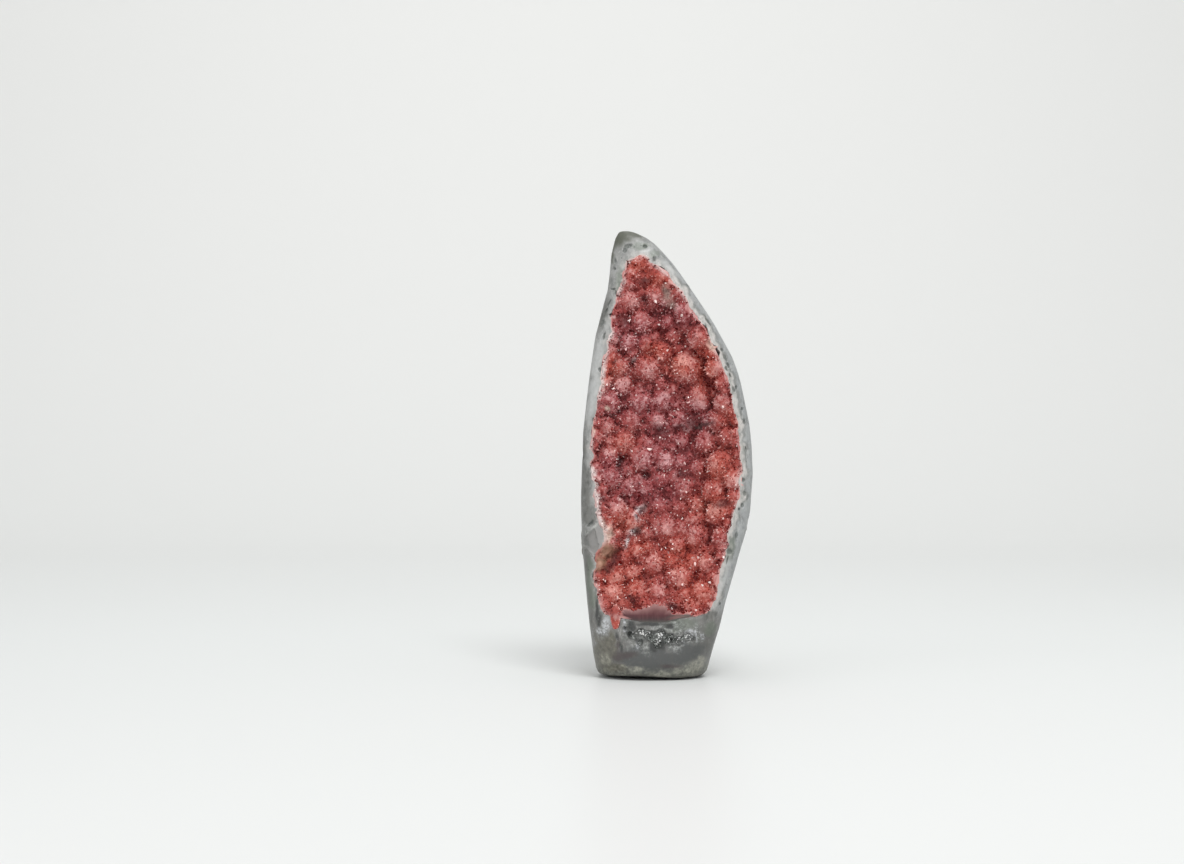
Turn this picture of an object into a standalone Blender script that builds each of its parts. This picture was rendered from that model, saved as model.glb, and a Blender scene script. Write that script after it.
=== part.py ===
"""A geode half standing on a sawn base: a stone shell whose front was sawn open and ground
smooth, and the crust of red crystal knobs that lines its pocket. Metres, +Z up, the open
front faces -Y, and the origin is on the underside of the base."""

import math
import random

import bmesh
import bpy
from mathutils import Vector, noise

MM = 0.001

# Driving dimensions
HEIGHT = 230 * MM
GAP = 0.3 * MM
RIND = 1.5 * MM
FLOOR_LAYER = 3.2 * MM
EDGE = 1.2 * MM
DISH_ROUNDING = 2.4
POCKET_LOW = 30 * MM
POCKET_HIGH = 217 * MM

# The outline seen from the front, as (height, place) pairs in millimetres
LEFT_SIDE = (
    (0, -28.8), (12, -31.2), (30, -33.2), (47, -34.9), (65, -36.4), (85, -37.4), (106, -36.9),
    (132, -35.6), (153, -33.2), (174, -30.2), (189, -26.5), (199, -23.6), (206, -22.7),
    (218, -21.6), (226, -19.6), (229, -17.9), (230, -16.2),
)
RIGHT_SIDE = (
    (0, 27.0), (12, 29.8), (25, 33.3), (39, 36.4), (52, 40.0), (65, 43.8), (75, 47.0), (85, 49.2),
    (98, 50.2), (111, 50.4), (127, 49.2), (143, 46.5), (153, 44.2), (164, 40.5), (174, 35.4),
    (184, 29.7), (195, 22.3), (210, 12.0), (221, 2.9), (226, -3.4), (229, -9.8), (230, -13.8),
)
# How far forward and back the stone reaches at each height
FRONT_REACH = (
    (0, -22.0), (12, -24.0), (30, -23.5), (60, -21.5), (120, -18.0), (180, -14.0), (212, -10.5),
    (226, -6.5), (230, -3.5),
)
BACK_REACH = (
    (0, 25.0), (20, 31.0), (55, 38.5), (95, 42.5), (135, 40.0), (170, 31.5), (200, 19.5),
    (220, 8.0), (228, 2.0), (230, 0.0),
)
# The depth of the ground shoulder between the front face and the widest line of the stone
SHOULDER = (
    (0, 22.0), (14, 20.0), (32, 14.5), (60, 11.5), (140, 10.0), (205, 8.5), (224, 5.0), (230, 2.0),
)
# How square the front is: 2 is an ellipse, and more is flatter with rounder corners
SQUARENESS = ((0, 2.1), (18, 2.5), (40, 3.4), (120, 3.8), (200, 3.0), (230, 2.2))

# The edges of the crystal pocket, and its depth, at each height
POCKET_LEFT = (
    (30, -6.0), (31.5, -14.0), (33.5, -24.5), (40, -27.7), (46, -29.4), (53, -30.9), (61, -29.6),
    (67, -26.6), (75, -24.8), (82, -28.0), (96, -29.8), (105, -31.0), (111, -32.8), (126, -31.8),
    (137, -30.3), (149, -27.6), (164, -25.0), (176, -22.4), (188, -20.8), (198, -18.0),
    (204, -15.6), (211, -15.0), (217, -10.6),
)
POCKET_RIGHT = (
    (30, 6.0), (31.5, 12.0), (33.5, 25.0), (39, 28.8), (49, 32.3), (61, 34.7), (76, 38.5),
    (87, 41.4), (101, 42.9), (113, 44.9), (126, 42.4), (136, 42.6), (147, 39.3), (160, 35.0),
    (171, 30.6), (183, 23.3), (196, 15.5), (207, 7.2), (213, -0.5), (217, -4.9),
)
POCKET_DEPTH = (
    (30, 1.5), (34, 7.0), (42, 13.5), (60, 19.0), (95, 23.0), (140, 22.0), (175, 16.0), (200, 10.5),
    (212, 6.0), (217, 1.5),
)

# The knobs that show best, as (across, up, radius) in millimetres, from the top down
KNOBS = (
    (-7.8, 213.5, 5.0), (-12.0, 207.5, 4.2), (3.6, 207.0, 5.4), (-4.2, 205.5, 4.4), (0.8, 197.0, 6.2),
    (-13.6, 193.5, 5.4), (9.2, 194.5, 4.8), (14.4, 196.6, 4.2), (16.6, 188.0, 5.6), (-7.8, 183.0, 6.4),
    (-16.4, 181.4, 4.4), (8.0, 183.0, 4.4), (10.6, 176.0, 4.8), (24.0, 174.6, 6.2), (-14.0, 172.6, 5.0),
    (-5.0, 172.0, 5.4), (4.6, 167.4, 6.0), (-18.6, 160.2, 5.2), (-3.8, 159.4, 7.4), (18.4, 159.6, 8.6),
    (32.0, 159.0, 5.0), (-17.2, 150.4, 5.2), (-24.0, 141.2, 5.8), (-7.8, 142.2, 6.4), (4.4, 143.2, 6.0),
    (12.0, 140.6, 4.0), (24.6, 143.6, 6.8), (37.2, 141.0, 5.6), (10.4, 148.0, 4.6), (1.0, 132.2, 5.2),
    (12.6, 132.4, 4.8), (-13.0, 131.6, 6.0), (-25.8, 129.4, 5.0), (34.6, 132.2, 6.2), (-17.0, 120.6, 7.0),
    (-4.0, 119.2, 5.2), (28.0, 120.6, 6.0), (15.8, 121.8, 4.4), (38.6, 123.6, 4.6), (-25.0, 112.4, 6.2),
    (-7.6, 112.4, 7.6), (6.2, 110.4, 5.0), (14.6, 110.0, 4.4), (23.6, 107.2, 4.8), (36.0, 108.8, 8.0),
    (-23.6, 102.8, 6.4), (-14.8, 98.0, 5.4), (-4.0, 97.0, 4.8), (3.8, 101.0, 5.0), (16.6, 97.4, 6.4),
    (32.6, 95.6, 7.2), (-21.4, 85.4, 7.0), (-13.0, 80.2, 6.0), (-6.6, 85.6, 4.2), (3.6, 86.6, 5.2),
    (13.2, 86.2, 4.6), (23.0, 89.0, 5.0), (35.0, 84.6, 7.2), (21.6, 80.0, 5.4), (5.4, 76.6, 6.6),
    (12.6, 67.4, 4.8), (23.0, 71.4, 6.4), (34.6, 72.4, 4.6), (0.4, 57.0, 5.6), (9.8, 58.0, 4.4),
    (20.2, 58.4, 5.0), (27.6, 58.4, 4.8), (-16.0, 62.0, 4.4), (13.6, 50.6, 7.0), (-21.2, 51.6, 6.0),
    (-12.0, 52.8, 5.0), (24.4, 43.8, 6.2), (-8.8, 43.0, 6.0), (2.0, 43.0, 5.0), (-21.2, 42.8, 6.0),
    (31.0, 50.8, 4.4), (19.0, 36.6, 4.6), (-25.0, 38.4, 4.2),
)
FILLER_KNOBS = 130
FILLER_RADIUS = (2.6 * MM, 4.6 * MM)
FILLER_SPACING = 0.66
# Knobs along the edge of the pocket: their spacing, radii, and how far in they stand
EDGE_KNOB_STEP = 5.4 * MM
EDGE_KNOB_RADIUS = (2.4 * MM, 3.9 * MM)
EDGE_KNOB_INSET = 0.5
# The knobs that the saw went through at the foot of the pocket, and the red run below it
SAWN_KNOBS = (
    (-14.0, 33.6, 3.8), (-8.4, 33.4, 4.4), (-2.6, 33.4, 5.0), (2.2, 33.0, 6.2), (6.4, 32.8, 4.6),
    (12.0, 33.2, 2.8), (16.6, 33.6, 2.6),
)
DRIP = (-19.8, 32.4, 2.3)
DRIP_STRETCH = 2.7

# Pits in the ground face, and chips off it, as (across, up, radius) in millimetres
FACE_PITS = (
    (-13.6, 222.0, 1.5), (-11.0, 219.6, 1.1), (-2.4, 221.4, 0.9), (-19.6, 198.8, 1.3),
    (29.6, 183.4, 1.3), (39.0, 165.0, 1.1), (44.4, 145.6, 1.1), (48.2, 133.0, 1.0), (-27.4, 180.6, 1.2),
    (-32.4, 143.6, 1.0), (48.4, 97.6, 1.2), (47.2, 91.6, 1.3), (44.6, 84.8, 1.0), (43.6, 72.2, 1.6),
    (39.6, 64.6, 1.9), (35.6, 37.6, 1.1), (-35.0, 89.0, 1.3),
)
VUG_HOLLOW = (
    (-15.2, 27.0, 2.4), (-12.0, 23.4, 3.2), (-7.0, 25.4, 3.2), (-2.4, 23.0, 4.2), (3.0, 24.6, 3.6),
    (1.6, 19.0, 3.8), (7.6, 21.4, 4.2), (12.4, 20.4, 3.4), (16.6, 22.4, 3.2), (20.2, 21.4, 2.4),
    (-7.8, 19.8, 3.0),
)
VUG_CRYSTALS = (
    (-16.0, 28.4), (-15.0, 25.4), (-13.2, 22.2), (-11.6, 25.4), (-10.4, 21.0), (-8.6, 27.0),
    (-7.2, 23.4), (-6.6, 18.8), (-4.6, 26.0), (-3.6, 21.4), (-1.4, 24.6), (-0.6, 18.6), (1.2, 21.8),
    (1.8, 26.0), (3.0, 16.8), (4.8, 23.6), (5.2, 19.6), (7.8, 24.0), (9.0, 19.0), (10.6, 22.2),
    (13.0, 18.8), (14.4, 22.6), (16.8, 20.0), (18.2, 23.8), (20.6, 20.8),
)
CHIP_CENTRE = (-30.6, 71.0)
CHIP_SIZE = (13.5 * MM, 8.0 * MM, 17.0 * MM)
CHIP_TURN = (math.radians(4), math.radians(40), math.radians(-38))
BACK_PITS = 10

# Mesh budgets
AROUND_FRONT, AROUND_BACK = 34, 38
STONE_KEPT = 0.19
CRUST_KEPT = 0.046
VOXEL = 0.9 * MM


def through(points, at):
    """The smooth curve through (place, value) pairs in millimetres, read at a place in metres."""
    at = min(max(at / MM, points[0][0]), points[-1][0])
    last = len(points) - 1
    i = max(k for k in range(last) if points[k][0] <= at)

    def slope(k):
        before, after = points[max(k - 1, 0)], points[min(k + 1, last)]
        return (after[1] - before[1]) / (after[0] - before[0])

    span = points[i + 1][0] - points[i][0]
    t = (at - points[i][0]) / span
    rise = (2 * t**3 - 3 * t**2 + 1) * points[i][1] + (3 * t**2 - 2 * t**3) * points[i + 1][1]
    lean = (t**3 - 2 * t**2 + t) * slope(i) + (t**3 - t**2) * slope(i + 1)
    return (rise + lean * span) * MM


def squareness(z):
    return through(SQUARENESS, z) / MM


def front_y(x, z):
    """The place of the ground front face behind a point of the front view."""
    left, right = through(LEFT_SIDE, z), through(RIGHT_SIDE, z)
    across = min(abs(x - (left + right) / 2) / ((right - left) / 2), 1.0)
    shoulder = through(SHOULDER, z)
    rounding = (1 - across ** squareness(z)) ** (1 / squareness(z))
    return through(FRONT_REACH, z) + shoulder * (1 - rounding)


def stone_ring(z, inset=0.0):
    """One level section of the stone: a flattened front and a rounder back."""
    left, right = through(LEFT_SIDE, z) + inset, through(RIGHT_SIDE, z) - inset
    middle, half = (left + right) / 2, (right - left) / 2
    widest = through(FRONT_REACH, z) + through(SHOULDER, z)
    ahead = max(through(SHOULDER, z) - inset, 0.5 * MM)
    behind = max(through(BACK_REACH, z) - widest - inset, 0.5 * MM)
    ring = []
    for steps, reach, power, start in (
        (AROUND_FRONT, -ahead, squareness(z), math.pi),
        (AROUND_BACK, behind, 2.15, 0.0),
    ):
        for i in range(steps):
            angle = start + math.pi * i / steps
            across, along = math.cos(angle), abs(math.sin(angle))
            x = middle + half * math.copysign(abs(across) ** (2 / power), across)
            ring.append(Vector((x, widest + reach * along ** (2 / power), z)))
    return ring


def stone_levels():
    """Heights of the sections, with the insets that round the edge of the base."""
    foot = ((-0.4, 3.4), (0.0, 3.0), (0.6, 1.4), (1.8, 0.4), (3.6, 0.0))
    levels = [(z * MM, inset * MM) for z, inset in foot]
    levels += [(z * MM, 0.0) for z in range(6, 222, 3)]
    levels += [(z * MM, 0.0) for z in (223, 225, 226.5, 228, 229, 229.6)]
    return levels


def new_object(name, mesh, collection):
    obj = bpy.data.objects.new(name, mesh)
    collection.objects.link(obj)
    return obj


def helper(name, mesh):
    """A guide or a cutter: it shapes the pieces and is no piece itself."""
    obj = new_object(name, mesh, bpy.data.collections["cutters"])
    obj.hide_render = True
    obj.display_type = "WIRE"
    return obj


def lofted(name, rings):
    """A closed mesh over rings that have the same number of points, turning anticlockwise."""
    bm = bmesh.new()
    rows = [[bm.verts.new(point) for point in ring] for ring in rings]
    for low, high in zip(rows, rows[1:]):
        for i in range(len(low)):
            j = (i + 1) % len(low)
            bm.faces.new((low[i], low[j], high[j], high[i]))
    bm.faces.new(reversed(rows[0]))
    bm.faces.new(rows[-1])
    bmesh.ops.recalc_face_normals(bm, faces=bm.faces)
    mesh = bpy.data.meshes.new(name)
    bm.to_mesh(mesh)
    bm.free()
    return mesh


def add_modifier(obj, kind, **settings):
    modifier = obj.modifiers.new(kind.title(), kind)
    for name, value in settings.items():
        setattr(modifier, name, value)
    return modifier


def baked(obj, name):
    """The object's mesh with its modifiers applied, as a mesh of its own."""
    bpy.context.view_layer.update()
    mesh = bpy.data.meshes.new_from_object(obj.evaluated_get(bpy.context.evaluated_depsgraph_get()))
    mesh.name = name
    return mesh


def natural_skin(point, normal):
    """How far the unground stone stands out or in: broad swells, broken ledges and grain."""
    swell = noise.noise(point / (26 * MM)) * 2.2
    cells = noise.voronoi(Vector((point.x, point.y, point.z * 1.5)) / (17 * MM))[0]
    ledge = (cells[1] - cells[0]) * 2.6 - 1.2
    grain = noise.noise(point / (6 * MM)) * 0.5
    return (swell + ledge + grain) * MM


def stone_body():
    """The whole stone before its pocket is opened, rough at the back and smooth in front."""
    mesh = lofted("stone_body", [stone_ring(z, inset) for z, inset in stone_levels()])
    normals = [vertex.normal.copy() for vertex in mesh.vertices]
    for vertex, normal in zip(mesh.vertices, normals):
        point = vertex.co.copy()
        widest = through(FRONT_REACH, point.z) + through(SHOULDER, point.z)
        behind = min(max((point.y - widest - 1 * MM) / (9 * MM), 0.0), 1.0)
        above = min(max(point.z / (8 * MM), 0.0), 1.0)
        below = min(max((HEIGHT - point.z) / (12 * MM), 0.15), 1.0)
        ground = noise.noise(point / (21 * MM) + Vector((5, 1, 3))) * 0.35 * MM
        push = behind * natural_skin(point, normal) + (1 - behind) * ground
        vertex.co = point + Vector((normal.x, normal.y, normal.z * 0.6)) * push * above * below
    return mesh


def pocket_span(z, inset):
    return through(POCKET_LEFT, z) + inset, through(POCKET_RIGHT, z) - inset


def pocket_y(x, z, inset):
    """The floor of the pocket behind a point of the front view, moved inwards by an inset."""
    left, right = pocket_span(z, inset)
    across = min(abs(x - (left + right) / 2) / ((right - left) / 2), 1.0)
    depth = through(POCKET_DEPTH, z) - inset * FLOOR_LAYER / RIND
    return front_y(x, z) + EDGE + max(depth, 0.3 * MM) * (1 - across**DISH_ROUNDING) ** 0.75


def pocket(name, inset, low, high, reach=4 * MM, columns=14, step=7 * MM):
    """The hollow of the pocket as a solid, from in front of the stone back to its floor."""
    rows = max(round((high - low) / step), 4)
    rings = []
    for row in range(rows + 1):
        t = row / rows
        z = low + (high - low) * (t - math.sin(2 * math.pi * t) / (2.6 * math.pi))
        left, right = pocket_span(z, inset)
        ring = [Vector((left, front_y(left, z) - reach, z)), Vector((right, front_y(right, z) - reach, z))]
        for i in range(columns + 1):
            x = (left + right) / 2 + (right - left) / 2 * math.cos(math.pi * i / columns)
            ring.append(Vector((x, pocket_y(x, z, inset), z)))
        rings.append(ring)
    return helper(name, lofted(name, rings))


def filling():
    """The room that the crust may take: the pocket less a thin gap on every side."""
    room = pocket("pocket_filling", 0.0, POCKET_LOW, POCKET_HIGH)
    bm = bmesh.new()
    bm.from_mesh(room.data)
    bm.normal_update()
    moves = [vertex.normal * vertex.calc_shell_factor() * GAP for vertex in bm.verts]
    for vertex, move in zip(bm.verts, moves):
        vertex.co -= move
    bm.to_mesh(room.data)
    bm.free()
    return with_drip(room, 0.0)


def scattered_knobs():
    """The knobs read from the specimen, then smaller ones grown in the room between them."""
    chance = random.Random(7)
    knobs = [tuple(value * MM for value in knob) for knob in KNOBS]
    tries = 0
    while len(knobs) < len(KNOBS) + FILLER_KNOBS and tries < 9000:
        tries += 1
        z = chance.uniform(POCKET_LOW + 7 * MM, POCKET_HIGH - 3 * MM)
        left, right = pocket_span(z, 1.5 * MM)
        x, radius = chance.uniform(left, right), chance.uniform(*FILLER_RADIUS)
        if all(math.hypot(x - k[0], z - k[1]) > FILLER_SPACING * (radius + k[2]) for k in knobs):
            knobs.append((x, z, radius))
    return knobs


def edge_knobs():
    """Small knobs at even steps up both sides of the pocket, on the brink of the ground face."""
    chance = random.Random(5)
    knobs = []
    for points, inwards in ((POCKET_LEFT, 1), (POCKET_RIGHT, -1)):
        z = POCKET_LOW + 3 * MM
        while z < POCKET_HIGH - 2 * MM:
            radius = chance.uniform(*EDGE_KNOB_RADIUS)
            knobs.append((through(points, z) + inwards * EDGE_KNOB_INSET * radius, z, radius))
            slope = (through(points, z + MM) - through(points, z)) / MM
            z += EDGE_KNOB_STEP * chance.uniform(0.8, 1.2) / math.hypot(1, slope)
    return knobs


def add_knob(bm, centre, radius, stretch=(1, 1, 1), detail=3):
    made = bmesh.ops.create_icosphere(bm, subdivisions=detail, radius=radius)
    for vertex in made["verts"]:
        lump = 1 + 0.10 * noise.noise(vertex.co / (0.55 * radius) + centre / (9 * MM))
        vertex.co = centre + Vector(a * b * lump for a, b in zip(vertex.co, stretch))


def drip(bm, grow):
    x, z, radius = (value * MM for value in DRIP)
    centre = Vector((x, front_y(x, z) + 0.4 * MM, z))
    add_knob(bm, centre, radius + grow, stretch=(1, 0.9, DRIP_STRETCH), detail=2)


def knob_mesh():
    """Every knob as its own ball on the pocket's floor, ready to be fused with the rind."""
    bm = bmesh.new()
    for x, z, radius in scattered_knobs() + edge_knobs():
        rest = max(pocket_y(x, z, RIND) + 0.22 * radius, front_y(x, z) + radius + 0.6 * MM)
        add_knob(bm, Vector((x, rest, z)), radius, detail=2 if radius < 4 * MM else 3)
    for knob in SAWN_KNOBS:
        x, z, radius = (value * MM for value in knob)
        add_knob(bm, Vector((x, front_y(x, z) + 0.35 * radius, z)), radius)
    drip(bm, 0.0)
    mesh = bpy.data.meshes.new("knobs")
    bm.to_mesh(mesh)
    bm.free()
    return mesh


def with_drip(cutter, grow):
    """The cutter joined with the drip's own hollow."""
    bm = bmesh.new()
    drip(bm, grow)
    mesh = bpy.data.meshes.new("drip_hollow")
    bm.to_mesh(mesh)
    bm.free()
    hollow = helper(cutter.name + "_drip", mesh)
    add_modifier(cutter, "BOOLEAN", operation="UNION", object=hollow)
    return cutter


def crust_blank():
    """Rind and knobs fused into one mass, larger than the pocket that will trim it."""
    tub = pocket("tub", -1.2 * MM, POCKET_LOW - 1.5 * MM, POCKET_HIGH + 1.5 * MM, reach=2 * MM)
    air = pocket("air", RIND, POCKET_LOW + 3.5 * MM, POCKET_HIGH - 2.5 * MM, reach=12 * MM)
    add_modifier(tub, "BOOLEAN", operation="DIFFERENCE", object=air)
    bm = bmesh.new()
    bm.from_mesh(baked(tub, "tub_open"))
    bm.from_mesh(knob_mesh())
    mesh = bpy.data.meshes.new("crust_blank")
    bm.to_mesh(mesh)
    bm.free()
    blank = helper("crust_fused", mesh)
    add_modifier(blank, "REMESH", mode="VOXEL", voxel_size=VOXEL)
    fused = baked(blank, "crust")
    for vertex, normal in zip(fused.vertices, [vertex.normal.copy() for vertex in fused.vertices]):
        vertex.co += normal * noise.noise(vertex.co / (2.2 * MM)) * 0.35 * MM
    return fused


def balls(name, spots, sink):
    """A cutter of balls set into the front face at (across, up, radius) spots."""
    bm = bmesh.new()
    for spot in spots:
        x, z, radius = (value * MM for value in spot)
        add_knob(bm, Vector((x, front_y(x, z) - sink * radius, z)), radius, detail=1)
    mesh = bpy.data.meshes.new(name)
    bm.to_mesh(mesh)
    bm.free()
    return helper(name, mesh)


def vug_hollow():
    """The shallow uneven hollow of the vug, fused from its balls."""
    hollow = balls("vug", VUG_HOLLOW, 0.2)
    add_modifier(hollow, "REMESH", mode="VOXEL", voxel_size=VOXEL)
    add_modifier(hollow, "DECIMATE", ratio=0.2)
    return hollow


def back_pits():
    """A cutter of separate balls over the rough back, kept apart from each other."""
    chance = random.Random(12)
    spots = []
    bm = bmesh.new()
    while len(spots) < BACK_PITS:
        z, turn = chance.uniform(12, 200) * MM, chance.uniform(0.12, 0.88)
        point = stone_ring(z)[AROUND_FRONT + int(AROUND_BACK * turn)]
        if all((point - other).length > 12 * MM for other in spots):
            spots.append(point)
            add_knob(bm, point, chance.uniform(1.4, 2.6) * MM, detail=1)
    mesh = bpy.data.meshes.new("back_pits")
    bm.to_mesh(mesh)
    bm.free()
    return helper("back_pits", mesh)


def vug_crystals():
    """Small six-sided points that grow in the colourless vug below the pocket."""
    chance = random.Random(3)
    bm = bmesh.new()
    for across, up in VUG_CRYSTALS:
        x, z = across * MM, up * MM
        made = bmesh.ops.create_cone(
            bm, cap_ends=True, segments=6, radius1=1.7 * MM, radius2=0.0, depth=6.4 * MM
        )
        lean = Vector((chance.uniform(-0.5, 0.5), -1.0, chance.uniform(-0.5, 0.5)))
        turn = lean.to_track_quat("Z", "Y")
        place = Vector((x, front_y(x, z) + 3.4 * MM, z))
        for vertex in made["verts"]:
            vertex.co = place + turn @ vertex.co
    mesh = bpy.data.meshes.new("vug_crystals")
    bm.to_mesh(mesh)
    bm.free()
    return helper("vug_crystals", mesh)


def block(name, size, place, turn=(0, 0, 0)):
    bm = bmesh.new()
    bmesh.ops.create_cube(bm, size=1.0)
    bmesh.ops.scale(bm, vec=size, verts=bm.verts)
    mesh = bpy.data.meshes.new(name)
    bm.to_mesh(mesh)
    bm.free()
    obj = helper(name, mesh)
    obj.location, obj.rotation_euler = place, turn
    return obj


def chip():
    """The flat chip off the left rim."""
    x, z = (value * MM for value in CHIP_CENTRE)
    place = (x, front_y(x, z) - CHIP_SIZE[1] / 2 + 0.5 * MM, z)
    return block("chip", CHIP_SIZE, place, CHIP_TURN)


def material(name, colour, roughness):
    made = bpy.data.materials.new(name)
    made.use_nodes = True
    shader = made.node_tree.nodes["Principled BSDF"]
    shader.inputs["Base Color"].default_value = (*colour, 1)
    shader.inputs["Roughness"].default_value = roughness
    shader.inputs["Metallic"].default_value = 0.0
    return made


def build():
    for obj in list(bpy.data.objects):
        bpy.data.objects.remove(obj)
    for name in ("amethyst_specimen", "cutters"):
        bpy.context.scene.collection.children.link(bpy.data.collections.new(name))
    pieces = bpy.data.collections["amethyst_specimen"]

    envelope = helper("stone_envelope", stone_body())
    add_modifier(envelope, "DECIMATE", ratio=STONE_KEPT)
    whole = baked(envelope, "stone")
    envelope.modifiers.clear()
    envelope.data = whole

    stone = new_object("stone_shell", whole.copy(), pieces)
    hollow = with_drip(pocket("pocket_cut", 0.0, POCKET_LOW, POCKET_HIGH), GAP)
    below = block("below_base", (0.3, 0.3, 0.05), (0, 0, -0.025))
    cuts = (hollow, chip(), vug_hollow(), balls("face_pits", FACE_PITS, 0.25), back_pits())
    for cutter in (*cuts, below):
        add_modifier(stone, "BOOLEAN", operation="DIFFERENCE", object=cutter, use_self=True)
        if cutter.name == "vug":
            add_modifier(stone, "BOOLEAN", operation="UNION", object=vug_crystals(), use_self=True)
    stone.data.materials.append(material("ground_stone", (0.30, 0.31, 0.30), 0.45))

    crust = new_object("crystal_crust", crust_blank(), pieces)
    add_modifier(crust, "DECIMATE", ratio=CRUST_KEPT)
    for trimmer in (filling(), envelope):
        add_modifier(crust, "BOOLEAN", operation="INTERSECT", object=trimmer)
    crust.data.materials.append(material("red_crystal", (0.42, 0.12, 0.11), 0.3))


build()
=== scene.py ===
# %% [markdown]
# # A red amethyst geode
#
# The real object is half of a geode, a hollow stone bubble, standing on a sawn foot. The stone round
# the opening was ground smooth, and the hollow is lined with thousands of small red quartz crystals.
# The plain solids come first, as a fixed frame.

# %% The frame and the tools
import itertools
import math
import random

import bmesh
import bpy
import numpy as np
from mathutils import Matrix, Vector, kdtree, noise


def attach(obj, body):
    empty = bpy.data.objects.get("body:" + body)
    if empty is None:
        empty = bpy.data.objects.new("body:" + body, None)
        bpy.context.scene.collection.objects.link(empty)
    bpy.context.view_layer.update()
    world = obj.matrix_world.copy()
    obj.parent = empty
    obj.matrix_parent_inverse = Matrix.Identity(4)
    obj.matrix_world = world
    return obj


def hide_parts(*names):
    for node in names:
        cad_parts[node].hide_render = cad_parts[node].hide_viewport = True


MM = 0.001
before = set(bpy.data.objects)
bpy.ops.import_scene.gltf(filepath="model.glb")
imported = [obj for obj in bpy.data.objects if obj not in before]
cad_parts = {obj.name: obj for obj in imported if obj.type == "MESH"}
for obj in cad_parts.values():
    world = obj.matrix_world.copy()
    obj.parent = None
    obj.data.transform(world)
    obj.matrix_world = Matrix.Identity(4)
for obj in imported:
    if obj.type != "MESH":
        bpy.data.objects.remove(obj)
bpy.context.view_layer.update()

# %% [markdown]
# ## Where the viewer stands
#
# The photograph was taken level, from about a metre away, with the specimen a little right of the
# middle. A long lens at that distance keeps the sides of the stone nearly parallel. The camera comes
# first because it decides how fine every surface has to be: one pixel covers about half a millimetre.

# %% The camera
DISTANCE = 0.985
PICTURE_WIDTH = 1184
lens = bpy.data.cameras.new("level_camera")
lens.lens = 57.9
lens.sensor_width = 36
lens.clip_start, lens.clip_end = 0.05, 30
camera = bpy.data.objects.new("level_camera", lens)
camera.location = (-0.0317, -DISTANCE, 0.126)
camera.rotation_euler = (math.radians(90), 0, 0)
bpy.context.scene.collection.objects.link(camera)
bpy.context.scene.camera = camera
pixel = DISTANCE * lens.sensor_width / lens.lens / PICTURE_WIDTH
print("one pixel covers", round(pixel / MM, 2), "mm")

# %% [markdown]
# ## The stone's outline as curves
#
# A natural stone has no formula, but a ground one is close to having one. Its silhouette, the reach of
# its front and the edge of its pocket are each a smooth curve through a few measured heights. With
# these curves in numpy, a question such as "how deep behind the ground face is this point?" is
# answered for a hundred thousand points at once. Everything in these cells is in millimetres.

# %% The curves
LEFT_SIDE = (
    (0, -28.8), (12, -31.2), (30, -33.2), (47, -34.9), (65, -36.4), (85, -37.4), (106, -36.9),
    (132, -35.6), (153, -33.2), (174, -30.2), (189, -26.5), (199, -23.6), (206, -22.7), (218, -21.6),
    (226, -19.6), (229, -17.9), (230, -16.2),
)
RIGHT_SIDE = (
    (0, 27), (12, 29.8), (25, 33.3), (39, 36.4), (52, 40), (65, 43.8), (75, 47), (85, 49.2), (98, 50.2),
    (111, 50.4), (127, 49.2), (143, 46.5), (153, 44.2), (164, 40.5), (174, 35.4), (184, 29.7),
    (195, 22.3), (210, 12), (221, 2.9), (226, -3.4), (229, -9.8), (230, -13.8),
)
FRONT_REACH = (
    (0, -22), (12, -24), (30, -23.5), (60, -21.5), (120, -18), (180, -14), (212, -10.5), (226, -6.5),
    (230, -3.5),
)
SHOULDER = (
    (0, 22), (14, 20), (32, 14.5), (60, 11.5), (140, 10), (205, 8.5), (224, 5), (230, 2),
)
SQUARENESS = ((0, 2.1), (18, 2.5), (40, 3.4), (120, 3.8), (200, 3), (230, 2.2))
POCKET_LEFT = (
    (30, -6), (31.5, -14), (33.5, -24.5), (40, -27.7), (46, -29.4), (53, -30.9), (61, -29.6), (67, -26.6),
    (75, -24.8), (82, -28), (96, -29.8), (105, -31), (111, -32.8), (126, -31.8), (137, -30.3),
    (149, -27.6), (164, -25), (176, -22.4), (188, -20.8), (198, -18), (204, -15.6), (211, -15),
    (217, -10.6),
)
POCKET_RIGHT = (
    (30, 6), (31.5, 12), (33.5, 25), (39, 28.8), (49, 32.3), (61, 34.7), (76, 38.5), (87, 41.4),
    (101, 42.9), (113, 44.9), (126, 42.4), (136, 42.6), (147, 39.3), (160, 35), (171, 30.6), (183, 23.3),
    (196, 15.5), (207, 7.2), (213, -0.5), (217, -4.9),
)
POCKET_DEPTH = (
    (30, 1.5), (34, 7), (42, 13.5), (60, 19), (95, 23), (140, 22), (175, 16), (200, 10.5), (212, 6),
    (217, 1.5),
)
POCKET_LOW, POCKET_HIGH = 30, 217


def through(points, at):
    """The smooth curve through (place, value) pairs, read at many places at once."""
    places, values = np.array(points, float).T
    last = len(places) - 1
    before, after = np.r_[0, np.arange(last)], np.r_[np.arange(1, last + 1), last]
    slopes = (values[after] - values[before]) / (places[after] - places[before])
    at = np.clip(np.asarray(at, float), places[0], places[-1])
    i = np.clip(np.searchsorted(places, at, side="right") - 1, 0, last - 1)
    span = places[i + 1] - places[i]
    t = (at - places[i]) / span
    level = (2 * t**3 - 3 * t**2 + 1) * values[i] + (3 * t**2 - 2 * t**3) * values[i + 1]
    lean = (t**3 - 2 * t**2 + t) * slopes[i] + (t**3 - t**2) * slopes[i + 1]
    return level + lean * span


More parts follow.
